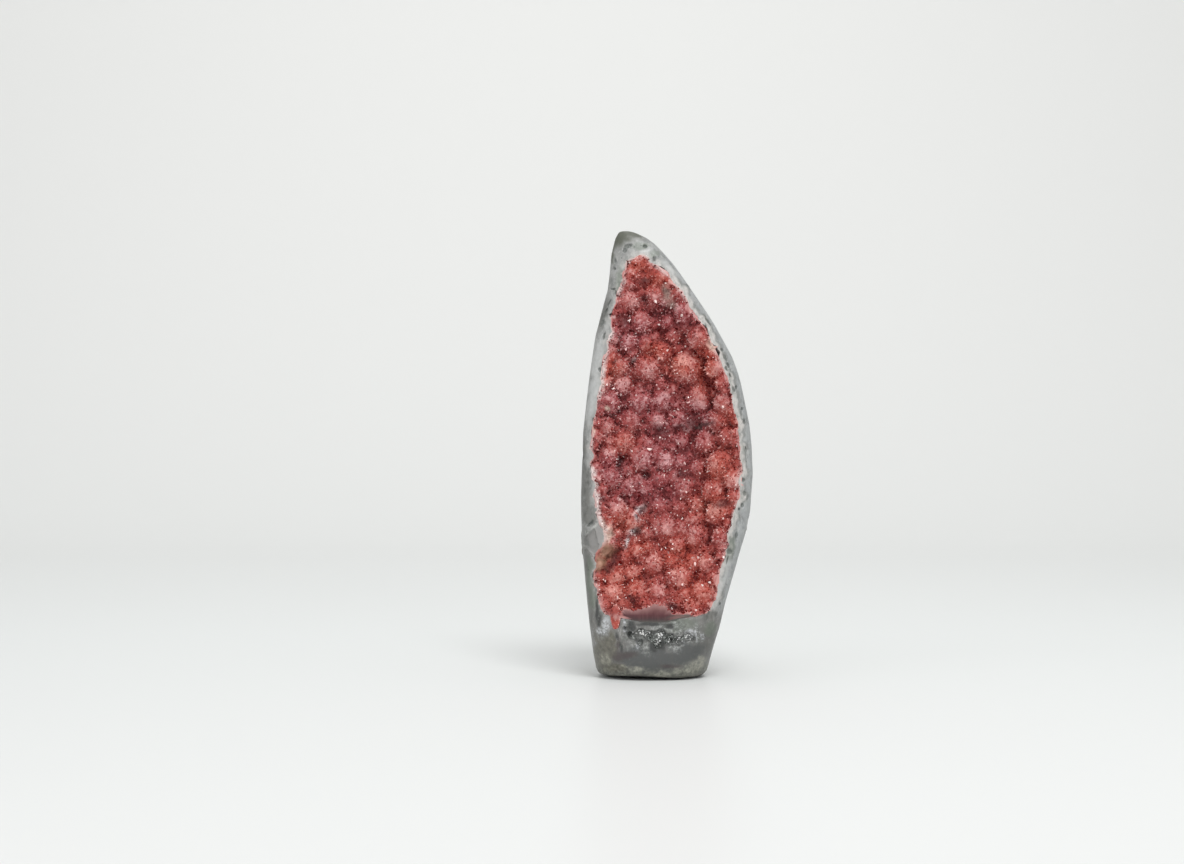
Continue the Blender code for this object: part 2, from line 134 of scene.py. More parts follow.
def ground_face(x, z):
    """How far back the ground face lies behind each point of the front view."""
    left, right = through(LEFT_SIDE, z), through(RIGHT_SIDE, z)
    across = np.clip(np.abs(x - (left + right) / 2) / ((right - left) / 2), 0, 1)
    power = through(SQUARENESS, z)
    rounding = (1 - across**power) ** (1 / power)
    return through(FRONT_REACH, z) + through(SHOULDER, z) * (1 - rounding)


def pocket_span(z, inset=0.0):
    return through(POCKET_LEFT, z) + inset, through(POCKET_RIGHT, z) - inset


def pocket_floor(x, z, inset=0.0, layer=None):
    """How far back the floor of the pocket lies, when a layer covers it and an inset its sides."""
    left, right = pocket_span(z, inset)
    across = np.clip(np.abs(x - (left + right) / 2) / ((right - left) / 2), 0, 1)
    layer = inset * 3.2 / 1.5 if layer is None else layer
    depth = np.maximum(through(POCKET_DEPTH, z) - layer, 0.3)
    return ground_face(x, z) + 1.2 + depth * (1 - across**2.4) ** 0.75


print("the ground face at the middle:", round(float(ground_face(5.0, 120.0)), 1), "mm")

# %% [markdown]
# ## Mesh helpers
#
# Most shapes here start coarse and end as a hundred thousand small faces, which is too many to move
# one by one in Python. So a mesh is read into an array, changed there, and written back. Modifiers do
# the heavy steps: Boolean trims one closed form with another, and a voxel Remesh turns overlapping
# balls into one skin with even faces.

# %% Reading, writing and shaping meshes
stage_collection = bpy.context.scene.collection
SLIVER = 0.01 * MM
SMALLEST_PART = 200


def read_rows(items, key, columns, kind=np.float32):
    """One property of all these mesh items, as rows of an array."""
    flat = np.empty(len(items) * columns, kind)
    items.foreach_get(key, flat)
    return flat.reshape(-1, columns)


def read_points(mesh):
    """Vertex places in millimetres, one row each."""
    return read_rows(mesh.vertices, "co", 3).astype(float) / MM


def write_points(mesh, points):
    mesh.vertices.foreach_set("co", (points * MM).astype(np.float32).ravel())
    mesh.update()


def read_normals(mesh):
    return read_rows(mesh.vertex_normals, "vector", 3).astype(float)


def read_edges(mesh):
    return read_rows(mesh.edges, "vertices", 2, np.int32)


def built(bm, name):
    """A mesh made of what was drawn in a bmesh, which is then let go."""
    made = bpy.data.meshes.new(name)
    bm.to_mesh(made)
    bm.free()
    return made


def mark(mesh, name, values):
    """Store one number per vertex under a name, for a finish to read."""
    made = mesh.attributes.new(name, "FLOAT", "POINT")
    made.data.foreach_set("value", np.asarray(values, np.float32))


def baked(mesh, *steps):
    """The mesh after some modifiers, each given as its kind and its settings."""
    carrier = bpy.data.objects.new("carrier", mesh)
    stage_collection.objects.link(carrier)
    for kind, settings in steps:
        modifier = carrier.modifiers.new(kind, kind)
        for key, value in settings.items():
            setattr(modifier, key, value)
    bpy.context.view_layer.update()
    graph = bpy.context.evaluated_depsgraph_get()
    result = bpy.data.meshes.new_from_object(carrier.evaluated_get(graph))
    bpy.data.objects.remove(carrier)
    return result


def trimmed(mesh, operation, other):
    """Boolean of two closed meshes."""
    cutter = bpy.data.objects.new("cutter", other)
    stage_collection.objects.link(cutter)
    settings = {"operation": operation, "object": cutter, "solver": "MANIFOLD"}
    result = baked(mesh, ("BOOLEAN", settings))
    bpy.data.objects.remove(cutter)
    return result


def without_scraps(mesh):
    """The same mesh without the thin and loose bits that a cut leaves behind."""
    bm = bmesh.new()
    bm.from_mesh(mesh)
    bmesh.ops.remove_doubles(bm, verts=bm.verts, dist=SLIVER)
    bmesh.ops.dissolve_degenerate(bm, edges=bm.edges, dist=SLIVER)
    scraps, seen = [], set()
    for start in bm.verts:
        if start in seen:
            continue
        part, front = {start}, [start]
        while front:
            here = front.pop()
            fresh = [edge.other_vert(here) for edge in here.link_edges]
            fresh = [vertex for vertex in fresh if vertex not in part]
            part.update(fresh)
            front += fresh
        seen |= part
        if len(part) < SMALLEST_PART:
            scraps += part
    bmesh.ops.delete(bm, geom=scraps, context="VERTS")
    bm.to_mesh(mesh)
    bm.free()
    return mesh


def joined(*meshes):
    bm = bmesh.new()
    for mesh in meshes:
        bm.from_mesh(mesh)
    return built(bm, "joined")


def lofted(rings):
    """A closed mesh over rings of points that have the same count, in millimetres."""
    bm = bmesh.new()
    rows = [[bm.verts.new(np.array(point) * MM) for point in ring] for ring in rings]
    for low, high in zip(rows, rows[1:]):
        for i in range(len(low)):
            j = (i + 1) % len(low)
            bm.faces.new((low[i], low[j], high[j], high[i]))
    bm.faces.new(reversed(rows[0]))
    bm.faces.new(rows[-1])
    bmesh.ops.recalc_face_normals(bm, faces=bm.faces)
    return built(bm, "loft")


def averaged(values, edges):
    """Each vertex's mean of its neighbours."""
    count = np.bincount(edges.ravel(), minlength=len(values))
    total = np.zeros_like(values)
    for a, b in ((0, 1), (1, 0)):
        for axis in range(values.shape[1]):
            total[:, axis] += np.bincount(edges[:, a], values[edges[:, b], axis], len(values))
    return total / np.maximum(count, 1)[:, None]


def relaxed(points, edges, rounds, strength=1.0):
    """Smooth without shrinking: a step towards the neighbours, then a slightly longer one back."""
    weight = np.broadcast_to(np.asarray(strength, float), len(points))[:, None]
    for _ in range(rounds):
        for step in (0.5, -0.52):
            points = points + step * weight * (averaged(points, edges) - points)
    return points


LATTICE = np.random.default_rng(3).uniform(-1, 1, (24, 24, 24))


def grain(points, size, seed=0.0, octaves=1):
    """Smooth random values between about -1 and 1, whose bumps are about size millimetres wide."""
    total = np.zeros(len(points))
    for octave in range(octaves):
        place = points * (2**octave / size) + 3.1 * seed + 5.3 * octave
        cell = np.floor(place).astype(int)
        part = place - cell
        part = part * part * (3 - 2 * part)
        for corner in itertools.product((0, 1), repeat=3):
            share = np.prod(np.where(corner, part, 1 - part), axis=1)
            i, j, k = ((cell + corner) % 24).T
            total += share * LATTICE[i, j, k] / 2**octave
    return total


def grains(points, size, seeds, octaves=1):
    """Three such values for each point, to shift it by."""
    return np.stack([grain(points, size, seed, octaves) for seed in seeds], axis=1)


def blob(points, x, z, wide, tall, turn=0.0):
    """1 in the middle of an ellipse of the front view, fading to 0 at its edge."""
    c, s = math.cos(math.radians(turn)), math.sin(math.radians(turn))
    across, up = points[:, 0] - x, points[:, 2] - z
    reach = np.hypot((across * c + up * s) / wide, (up * c - across * s) / tall)
    return np.clip(1.35 - reach, 0, 1) ** 1.2


def blobs(points, spots):
    """The strongest of several ellipses at each point."""
    return np.max([blob(points, *spot) for spot in spots], axis=0)


def inside(points, outline):
    """1 for points inside an outline of the front view, given as (x, z) corners, and 0 outside."""
    x, z = points[:, 0], points[:, 2]
    crossings = np.zeros(len(points), int)
    for (x0, z0), (x1, z1) in zip(outline, outline[1:] + outline[:1]):
        if z0 != z1:
            crossings += ((z0 > z) != (z1 > z)) & (x < (x1 - x0) * (z - z0) / (z1 - z0) + x0)
    return (crossings % 2).astype(float)


def piece(name, mesh, finish, node=None):
    """Put a finished mesh in the scene, riding with the stone."""
    mesh.name = name
    mesh.materials.clear()
    mesh.materials.append(finish)
    made = bpy.data.objects.new(name, mesh)
    stage_collection.objects.link(made)
    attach(made, "root")
    if node:
        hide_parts(node)
    mesh.calc_loop_triangles()
    print(name, "has", len(mesh.loop_triangles), "triangles")


# %% [markdown]
# ## Shader maths as plain expressions
#
# A finish is a web of nodes, and a web written node by node is hard to read. Here one class wraps a
# socket, so that `1 - rise * 0.4` adds the Math nodes that work it out. A second class holds the web
# and adds any other kind of node from its type, its settings and its values.

# %% Links and finishes
class Link:
    """One output in a finish. Arithmetic on it adds Math nodes."""

    def __init__(self, finish, socket):
        self.finish, self.socket = finish, socket

    def maths(self, operation, *values, clamp=False):
        settings = {"operation": operation, "use_clamp": clamp}
        return self.finish.node("ShaderNodeMath", settings, dict(enumerate(values)))

    def __add__(self, other):
        return self.maths("ADD", self, other)

    def __sub__(self, other):
        return self.maths("SUBTRACT", self, other)

    def __rsub__(self, other):
        return self.maths("SUBTRACT", other, self)

    def __mul__(self, other):
        return self.maths("MULTIPLY", self, other)

    __radd__ = __add__
    __rmul__ = __mul__

    def held(self):
        """The same value kept between 0 and 1."""
        return self.maths("ADD", self, 0.0, clamp=True)

    def step(self, low, high):
        """0 below low, 1 above high, and a smooth rise between."""
        settings = {"interpolation_type": "SMOOTHSTEP"}
        return self.finish.node("ShaderNodeMapRange", settings, {0: self, 1: low, 2: high})


class Finish:
    """A material under construction."""

    def __init__(self, name):
        self.material = bpy.data.materials.new(name)
        self.material.use_nodes = True
        self.tree = self.material.node_tree
        self.shader = self.tree.nodes["Principled BSDF"]
        self.place = self.node("ShaderNodeTexCoord", output="Object")

    def node(self, kind, settings=None, values=None, output=0):
        """Add one node: its settings first, then its sockets, then give one of its outputs."""
        made = self.tree.nodes.new(kind)
        for key, value in (settings or {}).items():
            if key == "stops":
                for _ in value[2:]:
                    made.color_ramp.elements.new(0.5)
                for element, (at, colour) in zip(made.color_ramp.elements, value):
                    element.position, element.color = at, colour
            else:
                setattr(made, key, value)
        for key, value in (values or {}).items():
            self.plug(made.inputs[key], value)
        return Link(self, made.outputs[output])

    def plug(self, socket, value):
        if isinstance(value, Link):
            self.tree.links.new(value.socket, socket)
        else:
            socket.default_value = value

    def mark(self, name):
        """A number stored on the mesh under this name."""
        return self.node("ShaderNodeAttribute", {"attribute_name": name}, output="Fac")

    def cloud(self, size, detail=3.0, stretch=(1, 1, 1), rough=0.55):
        """Soft random patches about size millimetres wide."""
        place = self.node(
            "ShaderNodeVectorMath", {"operation": "MULTIPLY"}, {0: self.place, 1: stretch}
        )
        values = {"Vector": place, "Scale": 1 / (size * MM), "Detail": detail, "Roughness": rough}
        return self.node("ShaderNodeTexNoise", None, values)

    def cells(self, size):
        """Distance to the nearest of some random points about size millimetres apart."""
        values = {"Vector": self.place, "Scale": 1 / (size * MM)}
        return self.node("ShaderNodeTexVoronoi", None, values)

    def across(self, axis):
        """How far along X, Y or Z a point lies, in metres."""
        return self.node("ShaderNodeSeparateXYZ", None, {0: self.place}, output=axis)

    def blend(self, share, below, above):
        """A colour between two others."""
        settings = {"data_type": "RGBA"}
        return self.node("ShaderNodeMix", settings, {0: share, 6: below, 7: above}, output=2)

    def layers(self, colour, *layers):
        """Lay colours over another, each as a mark's name, a share of the mark and the colour."""
        for name, share, above in layers:
            colour = self.blend(self.mark(name) * share, colour, above)
        return colour

    def ramp(self, value, *stops):
        """Colours along a value, each stop as its place and then its red, green and blue."""
        stops = [(at, paint(*colour)) for at, *colour in stops]
        return self.node("ShaderNodeValToRGB", {"stops": stops}, {0: value})

    def bump(self, height, depth):
        """Fine relief, depth millimetres deep."""
        return self.node("ShaderNodeBump", None, {"Height": height, "Distance": depth * MM})

    def done(self, **values):
        """Set the shader's sockets by name, with _ for a space, and give the material."""
        for key, value in values.items():
            self.plug(self.shader.inputs[key.replace("_", " ")], value)
        return self.material


def paint(red, green, blue):
    """A colour as it looks on a screen, 0 to 255, turned into the light it stands for."""
    light = [c / 255 for c in (red, green, blue)]
    return (*[c / 12.92 if c <= 0.04045 else ((c + 0.055) / 1.055) ** 2.4 for c in light], 1.0)


print("mid grey reflects", round(paint(128, 128, 128)[0], 3), "of the light")

# %% [markdown]
# ## Where the knobs stand
#
# The crystals grew in rounded heaps, like the head of a cauliflower. Each heap is a ball here, set on
# the floor of the pocket. The big ones are listed where they show, as across, up and radius.
# Smaller ones are thrown at random and kept only where they don't crowd a neighbour, and a last row
# stands along the brink, where the crust meets the ground stone. A few more, in a list of their own,
# are those that the saw cut flat at the foot of the pocket, and the red run under them is one long
# drop. The seeds are fixed, so the same crust grows each time.

# %% The knobs
KNOBS = (
    (-7.8, 213.5, 5), (-12, 207.5, 4.2), (3.6, 207, 5.4), (-4.2, 205.5, 4.4), (0.8, 197, 6.2),
    (-13.6, 193.5, 5.4), (9.2, 194.5, 4.8), (14.4, 196.6, 4.2), (16.6, 188, 5.6), (-7.8, 183, 6.4),
    (-16.4, 181.4, 4.4), (8, 183, 4.4), (10.6, 176, 4.8), (24, 174.6, 6.2), (-14, 172.6, 5),
    (-5, 172, 5.4), (4.6, 167.4, 6), (-18.6, 160.2, 5.2), (-3.8, 159.4, 7.4), (18.4, 159.6, 8.6),
    (32, 159, 5), (-17.2, 150.4, 5.2), (-24, 141.2, 5.8), (-7.8, 142.2, 6.4), (4.4, 143.2, 6),
    (12, 140.6, 4), (24.6, 143.6, 6.8), (37.2, 141, 5.6), (10.4, 148, 4.6), (1, 132.2, 5.2),
    (12.6, 132.4, 4.8), (-13, 131.6, 6), (-25.8, 129.4, 5), (34.6, 132.2, 6.2), (-17, 120.6, 7),
    (-4, 119.2, 5.2), (28, 120.6, 6), (15.8, 121.8, 4.4), (38.6, 123.6, 4.6), (-25, 112.4, 6.2),
    (-7.6, 112.4, 7.6), (6.2, 110.4, 5), (14.6, 110, 4.4), (23.6, 107.2, 4.8), (36, 108.8, 8),
    (-23.6, 102.8, 6.4), (-14.8, 98, 5.4), (-4, 97, 4.8), (3.8, 101, 5), (16.6, 97.4, 6.4),
    (32.6, 95.6, 7.2), (-21.4, 85.4, 7), (-13, 80.2, 6), (-6.6, 85.6, 4.2), (3.6, 86.6, 5.2),
    (13.2, 86.2, 4.6), (23, 89, 5), (35, 84.6, 7.2), (21.6, 80, 5.4), (5.4, 76.6, 6.6), (12.6, 67.4, 4.8),
    (23, 71.4, 6.4), (34.6, 72.4, 4.6), (0.4, 57, 5.6), (9.8, 58, 4.4), (20.2, 58.4, 5),
    (27.6, 58.4, 4.8), (-16, 62, 4.4), (13.6, 50.6, 7), (-21.2, 51.6, 6), (-12, 52.8, 5),
    (24.4, 43.8, 6.2), (-8.8, 43, 6), (2, 43, 5), (-21.2, 42.8, 6), (31, 50.8, 4.4), (19, 36.6, 4.6),
    (-25, 38.4, 4.2),
)
SAWN_KNOBS = (
    (-14, 33.6, 3.2), (-8.6, 33.2, 3.6), (-3.4, 33.6, 4.4), (1.2, 32.8, 6.8), (4.6, 32.6, 4.6),
    (12, 32.8, 2.3), (16.6, 33, 2.1),
)
DRIP = (-19.8, 32.4, 2.3)
SMALL_KNOBS, MOST_TRIES = 130, 9000
CROWDING = 0.66
BRINK_STEP = 5.4


def scattered_knobs():
    chance = random.Random(7)
    knobs = list(KNOBS)
    tries = 0
    while len(knobs) < len(KNOBS) + SMALL_KNOBS and tries < MOST_TRIES:
        tries += 1
        z = chance.uniform(POCKET_LOW + 7, POCKET_HIGH - 3)
        left, right = pocket_span(z, 1.5)
        x, radius = chance.uniform(left, right), chance.uniform(2.6, 4.6)
        if all(math.hypot(x - k[0], z - k[1]) > CROWDING * (radius + k[2]) for k in knobs):
            knobs.append((x, z, radius))
    return knobs


def brink_knobs():
    chance = random.Random(5)
    knobs = []
    for points, inwards in ((POCKET_LEFT, 1), (POCKET_RIGHT, -1)):
        z = POCKET_LOW + 3.0
        while z < POCKET_HIGH - 2:
            radius = chance.uniform(2.4, 3.9)
            place = float(through(points, z))
            knobs.append((place + inwards * 0.5 * radius, z, radius))
            slope = float(through(points, z + 1)) - place
            z += BRINK_STEP * chance.uniform(0.8, 1.2) / math.hypot(1, slope)
    return knobs


knobs = scattered_knobs() + brink_knobs()
print(len(knobs), "knobs, of which", len(KNOBS), "are placed by hand")

# %% [markdown]
# ## The crust as one skin
#
# Now the knobs become one surface. A tub that follows the pocket is hollowed, the balls are dropped
# in, and a voxel Remesh fuses them into even faces well under a millimetre. Subdividing the plain
# solid would be quicker, but its knobs are cut to a few dozen faces each, and the dark seams between
# neighbours would stay soft. The fused mass is trimmed by a form whose front is the ground face
# itself, because the saw and the grinding wheel went through crust and stone together. Such a cut
# leaves a few loose slivers behind, which are thrown away.

# %% Growing and trimming the crust
FORM_ROWS = 27
FLOOR_STEPS = 14


def pocket_form(inset, low, high, reach, front_steps=1, layer=None):
    """The hollow of the pocket as a solid. reach is how far it stands out of the ground face."""
    rings = []
    for row in range(FORM_ROWS + 1):
        t = row / FORM_ROWS
        z = low + (high - low) * (t - math.sin(2 * math.pi * t) / (2.6 * math.pi))
        left, right = (float(side) for side in pocket_span(z, inset))
        fronts = np.linspace(left, right, front_steps + 1)
        ring = [(x, float(ground_face(x, z)) - reach, z) for x in fronts]
        for i in range(FLOOR_STEPS + 1):
            x = (left + right) / 2 + (right - left) / 2 * math.cos(math.pi * i / FLOOR_STEPS)
            ring.append((x, float(pocket_floor(x, z, inset, layer)), z))
        rings.append(ring)
    return lofted(rings)


def add_knob(bm, centre, radius, stretch=(1, 1, 1), detail=4, front=None):
    """A lumpy ball, pushed back behind the ground face if front is given."""
    made = bmesh.ops.create_icosphere(bm, subdivisions=detail, radius=radius)
    for vertex in made["verts"]:
        lump = 1 + 0.10 * noise.noise(vertex.co / (0.55 * radius) + centre / 9)
        place = centre + Vector(a * b * lump for a, b in zip(vertex.co, stretch))
        if front is not None:
            place.y = max(place.y, float(ground_face(place.x, place.z)) - front)
        vertex.co = place * MM


def drip_form(grow, front=None):
    bm = bmesh.new()
    x, z, radius = DRIP
    centre = Vector((x, float(ground_face(x, z)) + 0.4, z))
    add_knob(bm, centre, radius + grow, (1, 0.9, 2.7), 4, front)
    return built(bm, "drip")


def knob_heap():
    bm = bmesh.new()
    for x, z, radius in knobs:
        wide = radius * (1.12 if radius > 4.1 else 1.0)
        back = float(pocket_floor(x, z, 1.5)) + 0.22 * radius
        back = max(back, float(ground_face(x, z)) + radius + 0.6)
        add_knob(bm, Vector((x, back, z)), wide, (1, 0.97, 1), 3 if radius < 4 else 4)
    for x, z, radius in SAWN_KNOBS:
        add_knob(bm, Vector((x, float(ground_face(x, z)) + 0.35 * radius, z)), radius)
    return built(bm, "knob_heap")


tub = trimmed(
    pocket_form(-1.2, POCKET_LOW - 1.5, POCKET_HIGH + 1.5, 2.0),
    "DIFFERENCE",
    pocket_form(0.35, POCKET_LOW + 3.2, POCKET_HIGH - 0.9, 12.0, layer=3.2),
)
VOXEL = 0.7
mass = joined(tub, knob_heap(), drip_form(0.1))
mass = baked(mass, ("REMESH", {"mode": "VOXEL", "voxel_size": VOXEL * MM}))
points = relaxed(read_points(mass), read_edges(mass), 3)
write_points(mass, points)
room = pocket_form(-0.45, POCKET_LOW - 0.3, POCKET_HIGH + 0.3, -0.10, front_steps=24, layer=0.0)
room = trimmed(room, "UNION", drip_form(0.3, front=-0.02))
skin = without_scraps(trimmed(mass, "INTERSECT", room))
print("crust skin:", len(skin.vertices), "vertices")

# %% [markdown]
# ## An uneven brink
#
# The curves above are smoother than the real edge, where each knob pushes the boundary out a little
# and each seam lets it in. Instead of a second, wigglier outline, every point near the brink and
# near the ground face is shifted sideways by the same random field, in the crust here and in the
# stone later. Because both follow one field, they still meet without a gap.

# %% Shifting the brink
BRINK_ROWS = 376
BRINK_REACH = 4.2
brink_tree = kdtree.KDTree(2 * BRINK_ROWS)
for i, z in enumerate(np.linspace(POCKET_LOW, POCKET_HIGH, BRINK_ROWS)):
    for j, side in enumerate(pocket_span(z)):
        brink_tree.insert((float(side), 0, z), 2 * i + j)
brink_tree.balance()


def from_brink(points):
    """Distance in the front view to the outline of the pocket."""
    return np.array([brink_tree.find((x, 0, z))[2] for x, _, z in points])


def made_ragged(points):
    """The same points with those near the brink moved sideways along the ground face."""
    above_foot = np.clip((points[:, 2] - 37) / 6, 0, 1)
    share = np.clip(1 - from_brink(points) / BRINK_REACH, 0, 1) ** 0.7 * above_foot
    behind = points[:, 1] - ground_face(points[:, 0], points[:, 2])
    share *= np.clip(1.6 - behind / 6, 0, 1)
    flat = points * (1, 0, 1)
    moved = points.copy()
    for axis, seed in ((0, 1.0), (2, 6.0)):
        field = 1.5 * grain(flat, 5.2, seed) + 0.9 * grain(flat, 2.3, seed + 2)
        moved[:, axis] += share * field
    moved[:, 1] += ground_face(moved[:, 0], moved[:, 2]) - ground_face(points[:, 0], points[:, 2])
    return moved


write_points(skin, made_ragged(read_points(skin)))
print("brink moved by up to", round(float(np.abs(made_ragged(points) - points).max()), 1), "mm")

# %% [markdown]
# ## What the crust looks like from place to place
#
# The red isn't even. It is orange at the top, on the right and low down, and wine-dark in the middle.
# The tops of the knobs look frosted, because there the crystals face the light, and the seams sink
# into shadow. How high a point stands is found by smoothing the skin and measuring how far each point
# lies outside the smooth one. That is done twice: a moderate smoothing shows the height within a knob,
# and a heavy one how far the whole knob stands out. The deepest seams are then filled a little, as the
# real ones are by the crystals that grew in them. The numbers are stored on the mesh for the finish,
# which paints high points paler, a painted highlight, and the seams darker, a painted shade.

# %% Marks on the crust
CREAM_SPOTS = (
    (-24.1, 73.3, 2.4, 5.6, -10), (-27, 78.4, 1.8, 3.4, -30), (-26, 150.5, 1.2, 3.6),
    (-31.4, 126.5, 1, 2.2), (-24.2, 137.6, 1.8, 1.4), (31.4, 170, 2.4, 5, 30), (36.6, 160, 1.6, 4, 30),
)
PALE_SPOTS = (
    (-16.6, 192.5, 4, 3.4), (-11.6, 164.8, 1.8, 3), (24.2, 139, 4.4, 3), (18, 93.6, 4, 3),
    (-7.6, 148.2, 1.6, 3.4), (-17.8, 87.6, 4, 3.6), (-12.6, 198, 3, 2), (-3, 157, 4, 3.6),
    (18, 163, 5, 3.4), (-9, 146, 5, 3), (6, 145, 3.4, 3), (3, 132, 3, 2.4), (-19, 118, 4, 3.4),
    (-26, 104, 3.4, 5), (13, 51, 5, 3.6), (0, 60, 4, 3.4), (8, 78, 5, 3.6), (-6, 184, 4.4, 2.6),
    (12, 190, 3, 3), (-22, 45, 3.4, 3),
)
GREY_SPOTS = ((6.4, 196.6, 2.4, 5), (8.4, 191.6, 3, 2))
CLEAR_SPOTS = (
    (-13.4, 70.7, 1.5, 4.4, -34), (-11.2, 75, 1.6, 2.4, -30), (-7.6, 84, 3, 3.6, -30),
    (-11, 163.4, 1.6, 2.2),
)
SMOKE_SPOTS = ((-8.8, 75.2, 3, 3, -30), (-4.6, 86.6, 2.4, 3), (24.2, 129.8, 6, 1.3))
BROWN_SPOTS = ((-23.8, 65.6, 4.6, 4, 30), (-27.4, 60.2, 3, 4.6, 20), (-28.4, 56.4, 2.2, 2.6, 20))
DARK_SPOTS = (
    (-5.2, 202.2, 4.2, 2), (-5.4, 193.4, 2.6, 2.4), (24.6, 129.8, 7.6, 2.2), (19, 131.6, 5, 3),
    (4, 125.6, 5, 4), (34, 89.4, 7, 1.6), (9.4, 37.8, 4.6, 2.2), (-17.4, 111.2, 1.6, 5.4),
    (-16, 182.6, 4, 3), (14.6, 104.4, 3.6, 2.6), (-26, 92, 4, 1.8), (-21.4, 59.4, 2.2, 7, -42),
    (-25.4, 55.4, 4.4, 1.4), (-11.6, 41, 4, 1.6), (14, 128, 6, 2.4), (-4, 104, 4, 2.6),
)
FIRE_SPOTS = (
    (-8, 212, 9, 9), (3, 204, 12, 7), (1, 168, 9, 6), (34, 108, 12, 14), (38, 132, 10, 9),
    (30, 88, 16, 12), (-15, 80, 12, 8), (-8, 66, 12, 7), (-16, 48, 18, 16), (14, 62, 18, 12),
    (22, 46, 16, 12), (-22, 158, 7, 8), (14, 160, 10, 8), (-14, 120, 10, 8), (27, 160, 8, 18),
    (-19.8, 28, 4, 8),
)
WINE_SPOTS = (
    (6, 118, 24, 20), (-2, 96, 22, 12), (20, 132, 22, 9), (-20, 140, 12, 10), (10, 186, 16, 8),
    (-12, 176, 12, 10), (-20, 108, 10, 12), (0, 140, 18, 12),
)
LENS_OUTLINE = (
    (-16.8, 42), (7, 42), (9.4, 37), (9.8, 33.4), (9.4, 30.4), (5, 28.4), (-7, 28.4), (-16.8, 30),
)
KNOB_TURNS, ALL_TURNS = 70, 260


def colour_marks(mesh, spots, rise, swell, tint, fringe):
    """Store what the red finish needs to know about each vertex."""
    wander = grains(spots, 6, (3.1, 5.3, 8.9)) + 0.5 * grains(spots, 2, (4.1, 6.3, 9.9))
    spread = spots + wander * 1.8
    fire = 0.40 + blobs(spread, FIRE_SPOTS) * 0.6 - blobs(spread, WINE_SPOTS) * 0.5
    for name, values in (
        ("rise", rise), ("swell", swell), ("tint", tint), ("fringe", fringe), ("fire", np.clip(fire, 0, 1)),
    ):
        mark(mesh, name, values)
    for name, places in (
        ("cream", CREAM_SPOTS), ("pale", PALE_SPOTS), ("grey", GREY_SPOTS), ("clear", CLEAR_SPOTS),
        ("smoke", SMOKE_SPOTS), ("brown", BROWN_SPOTS), ("dark", DARK_SPOTS),
    ):
        mark(mesh, name, blobs(spread, places))


def sugar_fringe(spots, away):
    """Where whitish crystals show along the brink: mostly on the left and at the top."""
    patchy = np.clip(0.45 + grain(spots, 9, 2.2) * 1.5 + grain(spots, 2.4, 3.2) * 0.9, 0, 1)
    leftish = np.clip(0.75 - (spots[:, 0] - 5) / 40, 0.5, 1) * np.clip((spots[:, 2] - 60) / 20, 0.3, 1)
    return np.clip(1.7 - away / 1.3, 0, 1) * np.clip(patchy * 1.3, 0, 1) * leftish


spots, normals, edges = read_points(skin), read_normals(skin), read_edges(skin)
smooth = smoother = spots
for turn in range(ALL_TURNS):
    smoother = smoother + 0.6 * (averaged(smoother, edges) - smoother)
    if turn + 1 == KNOB_TURNS:
        smooth = smoother
# rise and swell let the finish paint a highlight on high points and shade in the seams.
rise = np.clip(np.einsum("ij,ij->i", spots - smooth, normals) / 2.4, -1, 1)
# rise is lowered on the red run and towards the top of the pocket, so the finish paints both darker; at the
# top this is a painted shade that tones down the light from above.
rise -= blob(spots, DRIP[0], 29.0, 4.0, 8.0) * 0.6 + np.clip((spots[:, 2] - 192) / 14, 0, 1) * 0.45
swell = np.clip(np.einsum("ij,ij->i", smooth - smoother, normals) / 2.2, -1, 1)
behind_face = spots[:, 1] - ground_face(spots[:, 0], spots[:, 2])
away = from_brink(spots)
fill = np.clip((-rise - 0.15) * 1.2, 0, 0.35)
fill = fill * np.clip((behind_face - 0.8) / 2, 0, 1) * np.clip(away / 2, 0, 1)
spots = spots + fill[:, None] * (smooth - spots)
write_points(skin, spots)
normals = read_normals(skin)
before_floor = pocket_floor(spots[:, 0], spots[:, 2]) - spots[:, 1]
fringe = sugar_fringe(spots, away)
sawn = np.clip(1.3 - behind_face / 0.4, 0, 1) * np.clip(-normals[:, 1] * 3 - 1.6, 0, 1)
sawn[(behind_face < 0.5) & (spots[:, 2] < 32) & (np.abs(spots[:, 0]) < 16.8)] = 1
soft = np.stack([inside(spots, LENS_OUTLINE), sawn], axis=1)
for _ in range(3):
    soft = averaged(soft, edges)
in_lens = soft[:, 0]
colour_marks(skin, spots, rise, swell, 0.5 + 0.3 * grain(spots, 1.2, 2.0), fringe)
mark(skin, "sawn", sawn)
mark(skin, "lens", in_lens * sawn)
over_foot = np.clip((spots[:, 2] - 33.2) / 1.2, 0, 1) * np.clip((spots[:, 0] + 17.4) / 1.2, 0, 1)
mark(skin, "scallop", sawn * np.clip((0.93 - soft[:, 1]) * 4, 0, 1) * over_foot)
sill = sawn * np.clip((34.2 - spots[:, 2] + grain(spots, 2.5, 3.3)) / 0.8, 0, 1)
sill = sill * np.clip((spots[:, 0] - 7.5) / 1.5, 0, 1)
lowest = np.clip((31.2 - spots[:, 2]) / 0.6, 0, 1) * (spots[:, 0] > -16)
mark(skin, "sill", np.maximum(sill, sawn * lowest))
print("share of the skin that is sawn flat:", round(float((sawn > 0.5).mean()), 3))
